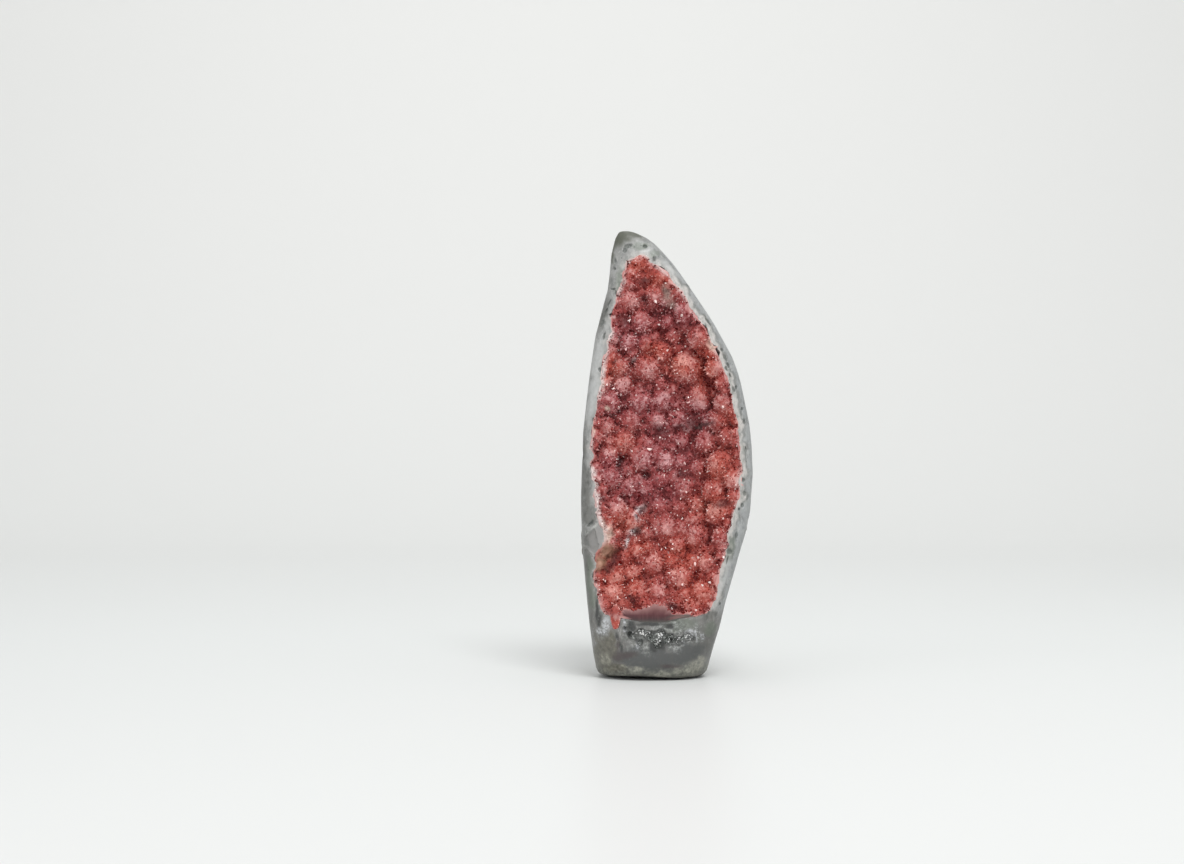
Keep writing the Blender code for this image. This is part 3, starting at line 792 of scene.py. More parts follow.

# %% [markdown]
# ## The red finish
#
# Red quartz is colourless quartz with a trace of rust in it, so a thin tip is pale pink and a deep seam
# wine-dark. The finish mixes three depths of red by how high a point stands, which paints a highlight on
# the knob tops and shade into the seams, by how near it is to the tip of its own crystal and by a number
# each crystal carries, so that neighbours differ. The facets stay glossy, so the lamps are mirrored in
# the few facets that happen to face them, and a few crystals in a hundred are painted near-white besides,
# as painted glints.

# %% The finish of the crystals
def red_druse(name, is_skin):
    finish = Finish(name)
    rise, tint, fire = finish.mark("rise"), finish.mark("tint"), finish.mark("fire")
    patches = finish.cloud(4.5, 3)
    deep_red_and_seam_shade = finish.blend(fire, paint(82, 10, 15), paint(102, 14, 10))
    middle = finish.blend(fire, paint(148, 66, 68), paint(168, 72, 60))
    frost_and_painted_highlight = finish.blend(fire, paint(202, 152, 153), paint(210, 146, 136))
    broad = finish.cloud(13, 2)
    # height mixes each crystal's own tone with rise and swell, so high points get a painted highlight and
    # seams a painted shade.
    height = rise * 0.30 + finish.mark("swell") * 0.26 + tint * 1.04 + patches * 0.34
    height = height + broad * 0.95 + finish.mark("pale") * 0.15
    height = height - 0.70 if is_skin else height + finish.mark("point") * 0.30 - 0.795
    colour = finish.blend(height.step(0.0, 0.50), deep_red_and_seam_shade, middle)
    colour = finish.blend(height.step(0.44, 1.04), colour, frost_and_painted_highlight)
    colour = finish.blend(finish.mark("dark") * 0.74, colour, paint(62, 14, 18))
    speck = 0.55 + tint * 0.6
    colour = finish.blend((finish.mark("cream") * speck).held(), colour, paint(214, 192, 178))
    colour = finish.blend(finish.mark("fringe") * tint.step(0.2, 0.75), colour, paint(220, 203, 200))
    colour = finish.blend((finish.mark("grey") * speck * 0.7).held(), colour, paint(156, 148, 138))
    glassy = finish.blend(tint.step(0.35, 0.65), paint(92, 66, 70), paint(218, 208, 208))
    colour = finish.blend(finish.mark("clear") * patches.step(0.3, 0.6), colour, glassy)
    smoky = finish.blend(tint.step(0.5, 0.9), paint(66, 44, 44), paint(120, 98, 92))
    colour = finish.blend(finish.mark("smoke") * 0.8, colour, smoky)
    fin = finish.ramp(patches, (0.3, 118, 84, 62), (0.5, 152, 112, 92), (0.7, 182, 140, 120))
    colour = finish.blend((finish.mark("brown") * 1.3).held(), colour, fin)
    if not is_skin:
        # A few crystals in a hundred are painted near-white: painted glints, besides those the lamps make
        # on the glossy facets.
        painted_glint = tint.step(0.962, 0.985)
        return finish.done(
            Base_Color=finish.blend(painted_glint, colour, paint(252, 232, 228)),
            Roughness=0.17,
            IOR=1.54,
            Specular_IOR_Level=0.32,
        )
    sawn, polish = finish.mark("sawn"), finish.mark("lens")
    up = finish.across("Z")
    streaks = finish.cloud(0.9, 3, (1, 1, 0.07))
    mauve = finish.blend(up.step(0.0300, 0.0340), paint(62, 52, 52), paint(82, 44, 48))
    mauve = finish.blend(up.step(0.0340, 0.0385), mauve, paint(102, 60, 60))
    mauve = finish.blend(streaks.step(0.4, 0.75) * 0.25, mauve, paint(120, 82, 82))
    edge = finish.blend(patches.step(0.35, 0.7) * 0.5, colour, paint(150, 84, 80))
    edge = finish.layers(edge, ("fringe", 0.7, paint(206, 194, 190)))
    flat = finish.blend(polish.step(0.3, 0.7), edge, mauve)
    flat = finish.layers(flat, ("scallop", 0.75, paint(196, 150, 146)), ("sill", 1.0, paint(84, 82, 78)))
    ground = (sawn + polish).held()
    colour = finish.blend(ground, colour, flat)
    relief = finish.cloud(0.9, 2) * (1 - sawn)
    return finish.done(
        Base_Color=colour,
        Roughness=0.6 - ground * 0.30,
        IOR=1.54,
        Specular_IOR_Level=0.32,
        Normal=finish.bump(relief, 0.3),
    )


skin_finish = red_druse("red_druse_skin", True)
crystal_finish = red_druse("red_druse_crystals", False)
piece("druse_skin", skin, skin_finish, node="crystal_crust")

# %% [markdown]
# ## Thousands of crystals
#
# On the real crust each knob bristles with points a millimetre long. They could be a particle system,
# but a mesh of their own travels to any other program. A face of the skin is picked at random and kept
# if no crystal stands too near. Each kept one gets a six-sided point that leans a little off the
# skin, twisted and sized by chance. All of them are worked out together as arrays, and their feet
# are sunk in the skin so that no open edge shows. Those on the sawn brink and on the red run stay very
# short, and none grow on the flat foot of the pocket or on the smooth brown fin at the left.

# %% Planting the crystals
SUNK = 0.45
TILT = 0.32
SHORTEST = 0.72


def face_table(mesh):
    """The centre, the direction and the first vertex of every face."""
    centres = read_rows(mesh.polygons, "center", 3).astype(float) / MM
    facing = read_rows(mesh.polygons, "normal", 3).astype(float)
    first = read_rows(mesh.polygons, "loop_start", 1, np.int32)[:, 0]
    corners = read_rows(mesh.loops, "vertex_index", 1, np.int32)[:, 0]
    return centres, facing, corners[first]


def spaced_out(places, gaps, seed):
    """Indexes of places, taken in random order, that keep their gap from those already taken."""
    order = np.random.default_rng(seed).permutation(len(places))
    cell = float(np.max(gaps))
    keys = (places // cell).astype(int).tolist()
    rows, gaps = places.tolist(), (np.asarray(gaps) ** 2).tolist()
    around = list(itertools.product((-1, 0, 1), repeat=3))
    taken, kept = {}, []
    for i in order.tolist():
        (x, y, z), (a, b, c), gap = rows[i], keys[i], gaps[i]
        crowd = (p for da, db, dc in around for p in taken.get((a + da, b + db, c + dc), ()))
        if all((p[0] - x) ** 2 + (p[1] - y) ** 2 + (p[2] - z) ** 2 > gap for p in crowd):
            taken.setdefault((a, b, c), []).append(rows[i])
            kept.append(i)
    return np.array(kept)


def crystal_mesh(name, feet, along, radii, lengths, rings, seed):
    """Six-sided crystals as one mesh. rings are (share of length, share of radius) below the tip."""
    chance = np.random.default_rng(seed)
    count = len(feet)
    helper = np.where(np.abs(along[:, [2]]) < 0.8, [[0, 0, 1]], [[1, 0, 0]])
    across = np.cross(along, helper)
    across /= np.linalg.norm(across, axis=1)[:, None]
    over = np.cross(along, across)
    angles = chance.uniform(0, math.tau, count)[:, None] + np.arange(6) * math.tau / 6
    uneven = 1 + chance.uniform(-0.2, 0.2, (count, 6))
    spokes = across[:, None] * np.cos(angles)[..., None] + over[:, None] * np.sin(angles)[..., None]
    layers = [
        feet[:, None] + along[:, None] * (lengths * high)[:, None, None]
        + spokes * (radii * wide)[:, None, None] * uneven[..., None]
        for high, wide in rings
    ]
    off_centre = across * chance.normal(0, 0.14, (count, 1)) + over * chance.normal(0, 0.14, (count, 1))
    tips = feet + along * lengths[:, None] + off_centre * radii[:, None]
    each = 6 * len(rings) + 1
    corners = np.concatenate([*layers, tips[:, None]], axis=1).reshape(-1, 3)
    start = (np.arange(count) * each)[:, None]
    faces = (start + np.arange(5, -1, -1)).tolist()
    top = 6 * (len(rings) - 1)
    for side in range(6):
        following = (side + 1) % 6
        for low in range(0, top, 6):
            quad = [low + side, low + following, low + 6 + following, low + 6 + side]
            faces += (start + np.array(quad)).tolist()
        faces += (start + np.array([top + side, top + following, each - 1])).tolist()
    made = bpy.data.meshes.new(name)
    made.from_pydata((corners * MM).tolist(), [], faces)
    made.update()
    mark(made, "point", np.tile([0.0] * (each - 1) + [1.0], count))
    return made, each


centres, facing, corner = face_table(skin)
depth = centres[:, 1] - ground_face(centres[:, 0], centres[:, 2])
fin = blobs(centres, BROWN_SPOTS) > 0.55
flush = sawn[corner] > 0.5
run = blob(centres, DRIP[0], 29.0, 3.0, 6.0) > 0
in_foot = (centres[:, 2] < 37) & (np.abs(centres[:, 0]) < 16.5)
open_face = ((before_floor[corner] > 0.5) | flush | run) & (facing[:, 1] < 0.4) & ~fin
open_face &= ~(flush & in_foot) & (depth > 0.02)
open_face &= (in_lens[corner] < 0.5) | (centres[:, 2] > 36) | (depth > 2)
low = flush | run
columns = (values[open_face] for values in (centres, facing, corner, depth, low))
centres, facing, corner, depth, low = columns
chance = np.random.default_rng(21)
SPACING = 0.73
size = np.clip(chance.lognormal(0, 0.30, len(centres)), 0.6, 2.0)
kept = spaced_out(centres, SPACING * np.clip(size, 0.8, 1.5), 4)
columns = (values[kept] for values in (centres, facing, size, corner, depth, low))
feet, along, size, corner, depth, low = columns
roots = feet - along * SUNK
along = along + chance.normal(0, TILT, along.shape)
along /= np.linalg.norm(along, axis=1)[:, None]
radii, lengths = 0.75 * size * SPACING, 1.3 * size
lengths = np.minimum(lengths, SUNK + (depth + 0.2) / np.maximum(-along[:, 1], 0.2))
lengths = np.where(low, np.minimum(lengths, SHORTEST), lengths)
points_mesh, each = crystal_mesh("druse_points", roots, along, radii, lengths, ((0.0, 1.0),), 8)
tips = read_points(points_mesh)
tint = np.repeat(chance.uniform(0, 1, len(feet)), each)
brink = np.repeat(away[corner], each)
# Each crystal takes the rise and swell of the skin under it, so it carries the same painted highlight and
# shade.
by_crystal = [np.repeat(values[corner], each) for values in (rise, swell)]
colour_marks(points_mesh, tips, *by_crystal, tint, sugar_fringe(tips, brink))
piece("druse_points", points_mesh, crystal_finish, node="crystal_crust")
print(len(feet), "crystals,", round(float(np.median(radii)) * 2, 2), "mm across")

# %% [markdown]
# ## The stone's skin
#
# The stone was ground round the opening and left as it was found behind. A voxel Remesh of the plain
# solid gives an even skin that keeps its pits, chip and pocket. The points of the ground part are
# laid exactly on the curve of the ground face, and the rest is roughened at several scales, as a
# weathered rind is. A pinhole is smaller than one face of that skin, so the faces are cut finer just
# where the pinholes and the vug are, which costs far less than a fine skin everywhere. Last, the rim
# of the foot is lifted a millimetre or two, for the dark line of shadow under the real stone.

# %% Shaping the stone
NEAR_FACE = 0.9
SPECKS = (
    (-13.7, 221.3, 1.6, 1.2, 30), (-14.9, 219.3, 1.2, 1.5), (-12, 222, 1, 0.8), (-4.4, 221.3, 1, 0.9),
    (0.2, 214.6, 0.7, 1.4), (-19.9, 213.6, 0.8, 1.4), (-20.4, 209.8, 0.9, 1), (-20.9, 199.1, 1.4, 0.7),
    (-19.4, 197.3, 0.6, 1.2), (27.6, 182.6, 0.6, 2.8, 32), (34.9, 168, 0.8, 1.1, 30),
    (36.3, 164.3, 0.7, 2.3, 26), (37.9, 160.2, 0.7, 1.6, 24), (36.8, 158.5, 0.6, 1.4, 24),
    (38.8, 154.9, 0.5, 1.4, 30), (40.4, 147.8, 0.7, 1.5, 18), (41.9, 148.8, 0.5, 1.1, 16),
    (37, 148, 0.6, 1.4), (44.9, 137.7, 0.7, 1), (45.9, 131.1, 0.6, 1.4), (46.6, 118, 0.4, 1.2),
    (45.2, 101.6, 0.9, 1.3), (45.9, 94.9, 0.8, 1.7), (44.8, 88.8, 0.9, 1.2), (42.9, 86.8, 0.6, 0.7),
    (41.7, 73.6, 0.9, 1.8, -8), (38.1, 65.4, 1.3, 1.8, -12), (37, 61, 0.5, 2.2, -16),
    (33.4, 38.6, 0.6, 0.8), (-26.6, 181.6, 0.7, 2.2, -26), (-25.6, 174.9, 0.6, 2, -16),
    (-27.6, 157.9, 0.9, 1.2), (-29.7, 88.8, 0.7, 1), (-30.7, 132.2, 0.6, 1.2),
    (-32.6, 79.4, 0.7, 2.4, -44), (-23, 192, 0.5, 2.2, -22), (-24.6, 188, 0.5, 1.8, -22),
    (-29, 118, 0.5, 1.2),
)
VUG_OUTLINE = (
    (-17.5, 33), (-8.3, 33), (3, 31), (10, 29), (19, 27), (24, 25), (23, 18), (13, 13), (2.8, 13),
    (-8, 15), (-17.5, 19),
)


def refined(mesh, wanted, cuts=2):
    """Cut faces finer where a vertex mask is true."""
    bm = bmesh.new()
    bm.from_mesh(mesh)
    near = [edge for edge in bm.edges if wanted[edge.verts[0].index] and wanted[edge.verts[1].index]]
    bmesh.ops.subdivide_edges(bm, edges=near, cuts=cuts, use_grid_fill=True)
    bm.to_mesh(mesh)
    bm.free()


VOXEL_STONE = 0.95
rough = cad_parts["stone_shell"].data.copy()
rough = baked(rough, ("REMESH", {"mode": "VOXEL", "voxel_size": VOXEL_STONE * MM}))
spots, edges = read_points(rough), read_edges(rough)


def stone_places(spots):
    """Where each point stands: ahead of the widest part, and behind the ground face."""
    widest = through(FRONT_REACH, spots[:, 2]) + through(SHOULDER, spots[:, 2])
    behind = spots[:, 1] - ground_face(spots[:, 0], spots[:, 2])
    return np.clip((widest - spots[:, 1]) / 4, -1, 1), behind


ahead, behind = stone_places(spots)
firm = np.clip((spots[:, 2] - 1.2) / 3, 0.06, 1)
spots = relaxed(spots, edges, 14 if VOXEL < 1 else 6, np.where(ahead > -0.2, 0.9, 0.55) * firm)
write_points(rough, spots)
wide_specks = [(s[0], s[1], s[2] + 0.9, s[3] + 0.9, *s[4:]) for s in SPECKS]
wanted = (behind < 1.2) & ((blobs(spots, wide_specks) > 0) | (inside(spots, VUG_OUTLINE) > 0))
refined(rough, wanted)
spots, edges = read_points(rough), read_edges(rough)
ahead, behind = stone_places(spots)
left, right = through(LEFT_SIDE, spots[:, 2]), through(RIGHT_SIDE, spots[:, 2])
rim = np.clip((np.minimum(spots[:, 0] - left, right - spots[:, 0]) - 0.8) / 2.0, 0, 1)
on_face = (np.abs(behind) < NEAR_FACE) & (ahead > 0.3)
lay = on_face * rim * np.clip((spots[:, 2] - 4) / 4, 0, 1) * np.clip((226 - spots[:, 2]) / 3, 0, 1)
spots[:, 1] -= lay * (behind - 0.05)
spots = made_ragged(spots)
write_points(rough, spots)
normals = read_normals(rough)
wild = np.clip(-(ahead + 0.1) * 1.6, 0, 1) * np.clip(spots[:, 2] / 6, 0, 1)
height = grain(spots, 16, 1.0, 2) * 0.8 + grain(spots, 5, 2.0, 3) * 0.5 - np.abs(grain(spots, 8, 4.0)) * 0.9
pitting = np.clip(grain(spots, 3.4, 9.0, 2) - 0.25, 0, 1)
height = (height - pitting * 1.1) * np.clip(0.65 + 0.8 * grain(spots, 30, 5.0), 0.25, 1.1)
ground = grain(spots, 9, 6.0, 2) * 0.06
pits = blobs(spots + 0.35 * grains(spots, 1.3, (1, 2, 3)), SPECKS)
sunk = (np.abs(behind) < NEAR_FACE) * pits * 0.75
spots = spots + normals * (wild * height + (1 - wild) * ground - sunk)[:, None]
spots[:, 2] = np.maximum(spots[:, 2], 0.0)
in_from_edge = np.minimum(np.minimum(spots[:, 0] - left, right - spots[:, 0]), np.maximum(behind, 0))
lift = 0.7 + 1.1 * np.exp(-(((spots[:, 0] + 8) / 16) ** 2)) * (ahead > 0)
lift *= np.clip((12 - in_from_edge) / 2.5, 0, 1)
spots[:, 2] += lift * np.clip(1 - spots[:, 2] / 5, 0, 1)
write_points(rough, spots)
# The underside and the lowest band of the foot's front are marked to be painted near black: a painted
# shadow line under the foot.
thick = 0.25 + 0.75 * np.exp(-(((spots[:, 0] + 8) / 15) ** 2))
under = np.maximum(np.clip(-normals[:, 2] * 3 - 0.6, 0, 1), ahead > 0)
mark(rough, "under", np.clip((thick - spots[:, 2] + lift) / 0.5, 0, 1) * under * (lift > 0.1))
print("stone:", len(spots), "vertices,", int(on_face.sum()), "of them on the ground face")

# %% [markdown]
# ## Colours laid down in the stone
#
# A geode's wall is banded: next to the crystals lies pale chalcedony, and outside it the grey rock.
# So the distance from the crust is the most useful number on this mesh. The other marks are places
# read off the photograph: the olive tip, the dark smooth bowl under the crystals, the mottled foot.

# %% Marks on the stone
TIP = ((-18.6, 228, 6, 7), (-12, 228, 9, 4), (-21, 219, 1.6, 7))
CHIP = (
    (-34.6, 73.4), (-31.6, 76.4), (-28.9, 79.4), (-26.4, 76.6), (-25.8, 71.4), (-27.6, 66.4),
    (-29.6, 61.2), (-31.4, 59.8), (-32.4, 66), (-33.2, 70.6),
)
CHIP_EDGE = ((-32, 76.2, 0.5, 3.2, -47), (-30.2, 78.4, 0.6, 2, -47))
BOWL = ((0, 12, 24, 4.6), (16, 13, 11, 6.4), (-10, 13.4, 9, 4), (-2, 8, 16, 3.6))
OLIVE = (
    (-24, 17.6, 5, 7), (-25.4, 10.6, 3.4, 5.4), (-22, 21.6, 3, 3), (-20, 6.6, 5.6, 2.6), (-29, 14, 2, 8),
)
PURPLE = ((-18.6, 12.6, 3, 3), (-15, 13.6, 6, 1.8), (8, 7.4, 6, 1), (-18.4, 18.6, 0.9, 4, -14))
FOOT_PALE = (
    (-9.2, 6, 3.6, 1.5), (3.4, 3.6, 4, 1.2), (10.6, 5.2, 2.2, 1.8), (19.4, 7.2, 6.4, 3, 16),
    (24, 9.6, 2.4, 2.2), (-25, 11, 2.6, 3), (-15, 7.4, 3, 0.8),
)
GREEN = (
    (-33, 56, 2, 6), (-32.6, 47.2, 1.8, 8), (-31.4, 40.6, 2.4, 5), (-18, 204, 1.4, 7), (12.6, 28.4, 9, 3),
    (28, 26, 3, 4), (37, 147.6, 1.6, 3), (38, 66, 2.6, 6, -12), (-7, 221, 5, 2.2),
    (0, 216.6, 2.4, 1.6, 40),
)
PATCH = (
    (-24.6, 28, 2, 4.6), (-27, 25, 2.6, 1.6), (-15.6, 29, 1, 4), (-15.2, 26, 1.1, 1.3), (-12, 32, 1.6, 1),
    (17.6, 24, 2, 2.4), (20.6, 23.6, 0.6, 3.2, 8), (15, 19.6, 0.9, 0.9), (24, 22.6, 0.8, 2.2),
    (-9, 17.6, 0.8, 2.6),
)
MOTTLE = (
    (-4, 20, 9, 5.4), (12, 22, 9, 6), (-13, 27, 3.4, 6), (6, 28, 9, 2.4), (-26.4, 27, 2.6, 5),
    (21, 24, 3, 5),
)
GLOOM = (
    (-11.4, 28, 2.4, 3), (-12.6, 24, 2, 1.4), (-0.6, 17, 2.4, 2.8), (3.8, 18.4, 2.6, 3),
    (-3, 28.9, 7, 1.1), (6.8, 28.6, 3, 1.5, -14), (-29.4, 35, 0.9, 6, -4), (-28.2, 30, 1, 4, -10),
    (-18.6, 22.6, 0.9, 1.8), (1.2, 31, 2, 0.8), (9, 21, 1.6, 1.6), (-16.8, 17.4, 0.7, 2.6, 20),
)
SHADE = (
    (-36, 110, 1.6, 16), (-34.8, 98, 3.2, 14), (-34.8, 50, 3, 26), (-26, 187, 2.4, 10, -20),
    (-32.6, 84, 4, 6), (-33.6, 36, 2.2, 14), (35.4, 22, 4, 22, -12), (26, 20, 6, 8), (27, 34, 5, 3),
    (-29, 44, 1.4, 12),
)
BRIGHT = (
    (-29.2, 163, 3, 12, -10), (-30.9, 147.6, 3, 12, -8), (-33, 137.4, 2, 8), (37.1, 57, 1.2, 6, -18),
    (34.5, 49.2, 1.2, 6, -18), (-5, 218.2, 3.4, 0.8), (-36, 92, 0.9, 1.6), (31, 44, 2, 8, -16),
    (8, 211, 1.4, 6, 44),
)

FARTHEST = 20
skin_tree = kdtree.KDTree(len(skin.vertices))
for i, spot in enumerate(read_points(skin)):
    skin_tree.insert(spot, i)
skin_tree.balance()
near = np.array([skin_tree.find(spot)[2] for spot in spots])
wander = grains(spots, 5, (1.7, 4.4, 7.7), 2) + grains(spots, 1.6, (2.7, 5.4, 8.7)) * 0.5
front = np.clip(ahead * 2 + 0.5, 0, 1)
for name, values in (
    ("front", front), ("near", np.clip(near / FARTHEST, 0, 1)), ("wild", wild), ("weather", height),
    ("specks", pits * front),
):
    mark(rough, name, values)
for name, places, share in (
    ("tip", TIP, 1.4), ("bowl", BOWL, 1.6), ("olive", OLIVE, 1.8), ("purple", PURPLE, 0.8),
    ("gloom", GLOOM, 0.7), ("foot_pale", FOOT_PALE, 1.0), ("green", GREEN, 1.2), ("patch", PATCH, 0.6),
    ("shade", SHADE, 1.2), ("bright", BRIGHT, 1.0), ("chip_edge", CHIP_EDGE, 0.1), ("mottle", MOTTLE, 1.6),
):
    mark(rough, name, np.clip(blobs(spots + wander * share, places) * 1.5, 0, 1) * front)
in_chip = averaged(inside(spots + wander * 0.2, CHIP)[:, None], edges)[:, 0]
mark(rough, "chip", in_chip * front)
mark(rough, "foot", np.clip((10 - (spots + wander * 1.2)[:, 2]) / 4, 0, 1))
mark(rough, "vug", np.clip(inside(spots + wander * 0.6, VUG_OUTLINE) * (behind > 0.5), 0, 1) * front)
print("nearest crust to the rim:", round(float(near[on_face].min()), 2), "mm")

# %% [markdown]
# ## The finish of the stone
#
# Ground basalt and chalcedony are greys that differ by a hair: the bands along the pocket, cloudy
# patches, dark pinholes where gas bubbles were opened, whose darkness is a painted shade inside the
# pits, and fine scratches. Each is one soft mask over the last. The ground face is half polished, so it
# mirrors the lamps a little. The back is dull.

# %% Stone colours
def stone_finish():
    finish = Finish("ground_and_wild_stone")
    near = finish.mark("near") * FARTHEST
    front, wild = finish.mark("front"), finish.mark("wild")
    cloud, fine = finish.cloud(9, 4), finish.cloud(1.6, 4)
    streak = finish.cloud(2.2, 5, (1, 1, 0.42), rough=0.6)
    wobble = (cloud - 0.5) * 3.6 + (streak - 0.5) * 1.2
    side, wall = finish.across("X").step(-0.008, 0.018), finish.across("Z").step(0.030, 0.040)
    grey = finish.ramp(cloud, (0.3, 116, 117, 115), (0.5, 137, 137, 135), (0.72, 156, 156, 155))
    out = near + wobble
    band = (1 - out.step(2.2, 3.4)) * wall
    inner = finish.ramp(streak, (0.32, 138, 141, 135), (0.5, 184, 180, 176), (0.7, 202, 195, 191))
    # side is 0 on the left and 1 on the right: the pale chalcedony band is real, and painting it paler on
    # the right than on the left is painted light from the side the key lamp stands on.
    colour = finish.blend(band * (side * 0.62 + 0.26), grey, inner)
    colour = finish.blend((1 - wall) * 0.5, colour, paint(99, 95, 91))
    # The outer rim is painted paler on the right side only: painted light.
    outer_painted_light = out.step(3.6, 5.0) * side * wall
    colour = finish.blend(outer_painted_light * 0.6, colour, paint(160, 163, 164))
    line = (out.step(2.9, 3.5) - out.step(3.5, 4.3)) * side * wall * streak.step(0.42, 0.58)
    colour = finish.blend((line * 0.4).held(), colour, paint(112, 116, 114))
    colour = finish.blend(streak.step(0.52, 0.68) * 0.32, colour, paint(192, 192, 188))
    murky = finish.cloud(2.3, 5, (1, 1, 0.5), rough=0.65).step(0.50, 0.68)
    colour = finish.blend(murky * 0.55, colour, paint(98, 102, 99))
    dust = finish.cloud(0.9, 4, (1, 1, 0.7), rough=0.7)
    colour = finish.blend(dust.step(0.56, 0.70) * 0.45, colour, paint(196, 197, 195))
    colour = finish.blend(dust.step(0.44, 0.30) * 0.45, colour, paint(92, 96, 93))
    foot = finish.ramp(fine, (0.3, 66, 66, 58), (0.5, 100, 100, 91), (0.7, 138, 138, 126))
    olive = finish.ramp(fine, (0.3, 74, 70, 60), (0.55, 98, 95, 82), (0.75, 124, 121, 104))
    colour = finish.layers(
        colour,
        ("bright", 0.6, paint(184, 185, 184)),
        ("shade", 0.66 + murky * 0.3, paint(84, 84, 80)),
        ("green", 0.55, paint(98, 108, 94)),
        ("tip", 0.88, paint(67, 70, 56)),
        ("foot", 0.85, foot),
        ("bowl", 0.88, paint(74, 76, 76)),
        ("olive", 0.75, olive),
        ("purple", 0.75, paint(72, 62, 62)),
    )
    speckle = finish.cloud(1.3, 3).step(0.42, 0.62)
    blotch = finish.cloud(3.2, 3).step(0.4, 0.6) * 0.4 + speckle * 0.3 + 0.2
    colour = finish.blend((finish.mark("foot_pale") * blotch).held(), colour, paint(160, 159, 146))
    clumps = finish.cloud(1.5, 4, rough=0.7)
    mottle = finish.ramp(clumps, (0.36, 54, 56, 55), (0.5, 112, 115, 112), (0.64, 184, 186, 184))
    colour = finish.layers(
        colour,
        ("mottle", 0.55, mottle),
        ("gloom", 0.86, paint(42, 43, 43)),
        ("patch", speckle * 0.6 + 0.15, paint(202, 204, 208)),
        ("chip", 0.85, paint(142, 139, 137)),
        ("chip_edge", 0.8, paint(180, 180, 176)),
        ("vug", 0.6, paint(58, 60, 58)),
    )
    lip = 1 - (near + (fine - 0.5) * 1.4).step(0.3, 1.1)
    lip = lip * front * wall * (fine.step(0.35, 0.6) * 0.5 + 0.2)
    colour = finish.blend(lip, colour, paint(200, 182, 176))
    pinholes = 1 - finish.cells(2.4).step(0.08, 0.2)
    holes = (pinholes * finish.cloud(7, 2).step(0.5, 0.62) + finish.mark("specks").step(0.12, 0.6)).held()
    # The pinholes and specks are pits; painting them dark is a painted shade inside them.
    colour = finish.blend(holes * 0.62, colour, paint(80, 86, 82))
    crag = finish.cloud(6, 8, rough=0.75)
    rind = finish.ramp(crag, (0.3, 62, 59, 52), (0.5, 100, 96, 85), (0.7, 144, 139, 125))
    weather = finish.mark("weather")
    rind = finish.blend(weather.step(-0.2, -1.6) * 0.7, rind, paint(44, 42, 36))
    rind = finish.blend(weather.step(0.2, 1.2) * 0.35, rind, paint(158, 154, 140))
    rind = finish.blend(finish.cloud(14, 3).step(0.5, 0.66) * 0.5, rind, paint(90, 99, 86))
    colour = finish.blend((wild * 1.3 + (fine - 0.5) * 0.8).held(), colour, rind)
    # Painted shadow: the underside and the lowest band of the foot's front are painted near black.
    colour = finish.blend(finish.mark("under"), colour, paint(34, 32, 30))
    scratches = finish.cloud(0.7, 3, (1.0, 1, 0.12))
    relief = fine * 0.5 + scratches * 0.25 - holes * 0.6 + finish.cloud(0.8, 5, rough=0.7) * wild * 5
    gloss = 0.34 + fine * 0.16 + wild * 0.4 + holes * 0.25
    return finish.done(Base_Color=colour, Roughness=gloss, IOR=1.54, Normal=finish.bump(relief, 0.16))


piece("stone_skin", rough, stone_finish(), node="stone_shell")

# %% [markdown]
# ## The colourless vug
#
# Under the red pocket the saw opened a second, smaller hollow, where the quartz has no rust in it. Its
# crystals are clear to milky, so they are the one place here where some light passes through. They
# fill a few round hollows in random places and sizes, and those in the middle of one sit deeper.

# %% Clear crystals
VUG_HOLLOW = (
    (-15.2, 27, 2.4), (-12, 23.4, 3.2), (-6.8, 25.6, 3.6), (-2.4, 23, 4.2), (3, 24.6, 3.6),
    (1.6, 19, 3.8), (7.6, 21.4, 4.2), (12.4, 20.4, 3.4), (16.6, 22.4, 3.2), (20.2, 21.4, 2.4),
    (-7.8, 19.8, 3),
)
WHITE = (
    (-15, 27.4, 1.4, 3), (-6.9, 25.6, 4, 4), (-9.4, 24.6, 1.2, 1), (-3, 28.4, 4, 0.8),
    (2, 28.8, 2.6, 0.8), (10, 26.4, 2.4, 0.8, -28), (6.8, 25.6, 1.8, 1.4), (17.6, 23, 2.6, 2.8),
    (20.6, 23.4, 0.8, 2.6), (1.2, 19.4, 0.9, 0.9), (-7.4, 17.6, 1, 0.7), (2.4, 23.6, 1, 2),
)
DIM = (
    (-12.6, 25, 1.8, 3), (-1.4, 24.4, 1.8, 2.4), (-0.6, 18, 2.4, 3), (4, 19.4, 2.4, 3),
    (8.4, 21, 1.8, 1.8), (-11.4, 29, 3, 2), (4.6, 27, 1.4, 1.2), (12, 22, 1.6, 1.6),
)
THROWS = 9000
chance = np.random.default_rng(12)
throws = [chance.uniform(-18, 23, THROWS), np.zeros(THROWS), chance.uniform(14, 32, THROWS)]
throws = np.stack(throws, axis=1)
hollow = [1 - np.hypot(throws[:, 0] - x, throws[:, 2] - z) / (r * 1.12) for x, z, r in VUG_HOLLOW]
well_in = np.max(hollow, axis=0)
throws, well_in = throws[well_in > 0], well_in[well_in > 0]
girth = np.clip(chance.lognormal(-0.45, 0.45, len(throws)), 0.35, 1.7)
kept = spaced_out(throws, girth * 0.95, 3)
throws, well_in, girth = throws[kept], well_in[kept], girth[kept]
sway = chance.normal(0, 0.5, (2, len(kept)))
lean = np.stack([sway[0], -np.ones(len(kept)), sway[1]], axis=1)
lean /= np.linalg.norm(lean, axis=1)[:, None]
tall = np.clip(girth * 3.4, 1.4, 5.0)
tips_at = throws.copy()
tips_at[:, 1] = ground_face(throws[:, 0], throws[:, 2]) + chance.uniform(0.05, 1.6, len(kept))
tips_at[:, 1] += well_in * 0.8
quartz, each = crystal_mesh(
    "vug_quartz", tips_at - lean * tall[:, None], lean, girth * 0.85, tall, ((0.0, 0.9), (0.68, 1.0)), 5
)
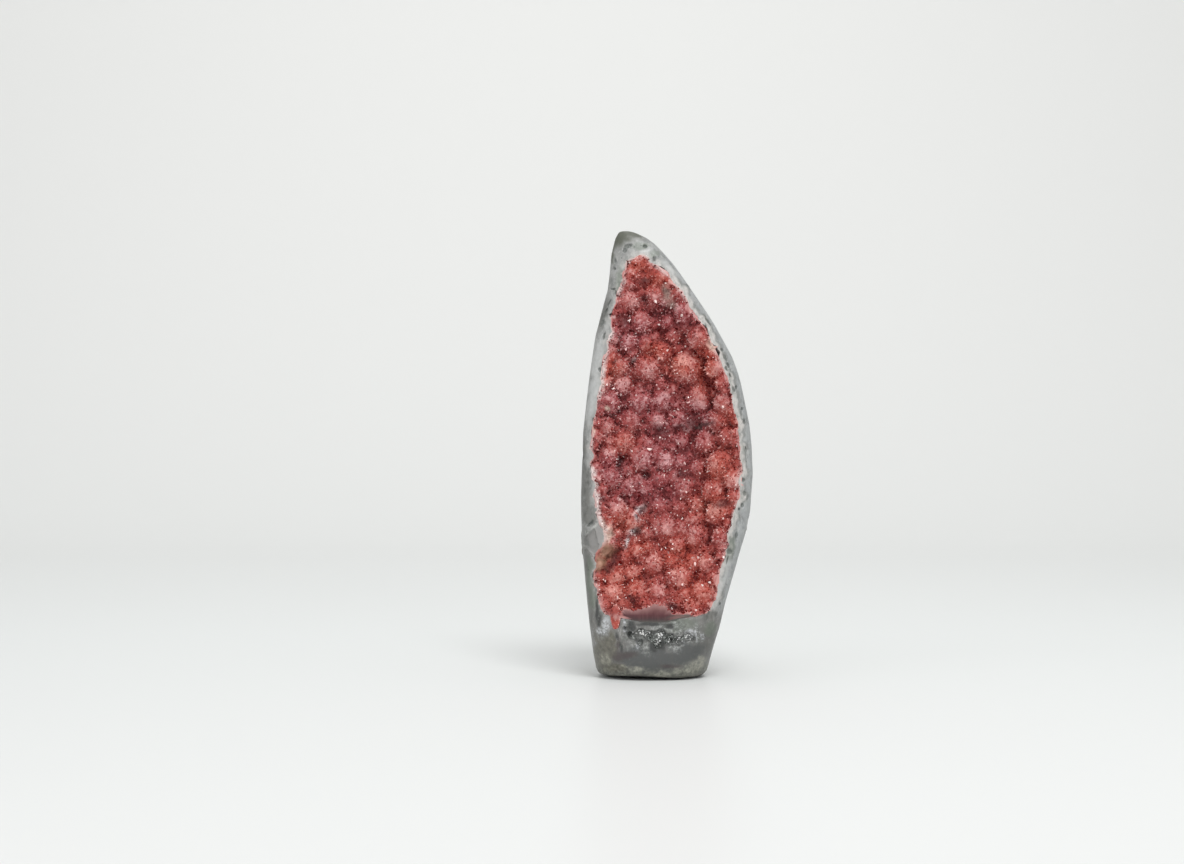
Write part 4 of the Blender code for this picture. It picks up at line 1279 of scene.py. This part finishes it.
mark(quartz, "tint", np.repeat(chance.uniform(0, 1, len(kept)), each))
quartz_spots = read_points(quartz)
mark(quartz, "white", blobs(quartz_spots, WHITE))
mark(quartz, "dim", blobs(quartz_spots, DIM))


def clear_quartz():
    finish = Finish("colourless_quartz")
    tint = finish.mark("tint")
    body = finish.blend(tint.step(0.05, 0.85), paint(92, 96, 92), paint(190, 194, 190))
    body = finish.layers(body, ("dim", 0.75, paint(46, 48, 46)))
    body = finish.blend((finish.mark("white") * (tint * 0.6 + 0.7)).held(), body, paint(252, 252, 250))
    body = finish.blend(tint.step(0.86, 0.93), body, paint(244, 244, 244))
    return finish.done(Base_Color=body, Roughness=0.24, IOR=1.54, Transmission_Weight=0.12)


piece("vug_quartz", quartz, clear_quartz(), node="stone_shell")

# %% [markdown]
# ## A pale room
#
# The specimen stands on a white table in front of a white wall. A single bent sheet does both: flat
# under the stone, curving up behind it, with no line between, and painted a little darker towards the
# front, where more light falls. Soft light comes from everywhere, as in a light tent, so shadows stay
# faint. One large lamp above the viewer gives each knob a lit side and another lights the wall. The
# four small lamps are there for the sparkle alone.

# %% Floor, lamps and air
def sweep():
    """A floor that bends up into a wall far behind the stone."""
    arc = np.linspace(0.05, math.pi / 2, 16)
    profile = [(-6.0, 0.0), (1.0, 0.0)]
    profile += [(1.0 + 1.2 * math.sin(a), 1.2 - 1.2 * math.cos(a)) for a in arc]
    profile += [(2.2, 5.0)]
    bm = bmesh.new()
    rows = [[bm.verts.new((x, y, z)) for y, z in profile] for x in (-6.0, 6.0)]
    for i in range(len(profile) - 1):
        bm.faces.new((rows[0][i], rows[1][i], rows[1][i + 1], rows[0][i + 1]))
    made = built(bm, "pale_sweep")
    made.shade_smooth()
    finish = Finish("pale_table")
    back = finish.across("Y") * 0.37 + 0.185
    pale = finish.ramp(back, (0, 208, 209, 208), (0.26, 221, 223, 222), (1, 243, 243, 241))
    made.materials.append(finish.done(Base_Color=pale, Roughness=0.38, IOR=1.10))
    table = bpy.data.objects.new("pale_sweep", made)
    stage_collection.objects.link(table)


def lamp(name, place, size, watts, aim=(0.005, 0, 0.115)):
    """A square lamp that looks at the middle of the stone, or at another place."""
    data = bpy.data.lights.new(name, "AREA")
    data.size, data.energy = size, watts
    made = bpy.data.objects.new(name, data)
    made.location = place
    made.rotation_euler = (Vector(place) - Vector(aim)).to_track_quat("Z", "Y").to_euler()
    stage_collection.objects.link(made)


sweep()
lamp("softbox_key", (0.25, -0.80, 1.30), 0.6, 13.0)
lamp("softbox_left", (-1.2, -0.8, 0.8), 0.8, 1.8)
lamp("wall_light", (-0.1, 0.6, 2.6), 1.6, 17.0, aim=(-0.1, 2.2, 0.9))
for letter, place in (
    ("a", (-0.25, -1.2, 0.55)), ("b", (0.45, -1.1, 0.35)),
    ("c", (0.05, -1.3, 0.8)), ("d", (-0.6, -0.9, 0.3)),
):
    lamp("sparkle_" + letter, place, 0.04, 0.6)
air = bpy.data.worlds.new("tent")
air.use_nodes = True
air.node_tree.nodes["Background"].inputs[0].default_value = (0.985, 0.995, 1.0, 1)
air.node_tree.nodes["Background"].inputs[1].default_value = 0.59
bpy.context.scene.world = air
bpy.context.scene.view_settings.view_transform = "Standard"
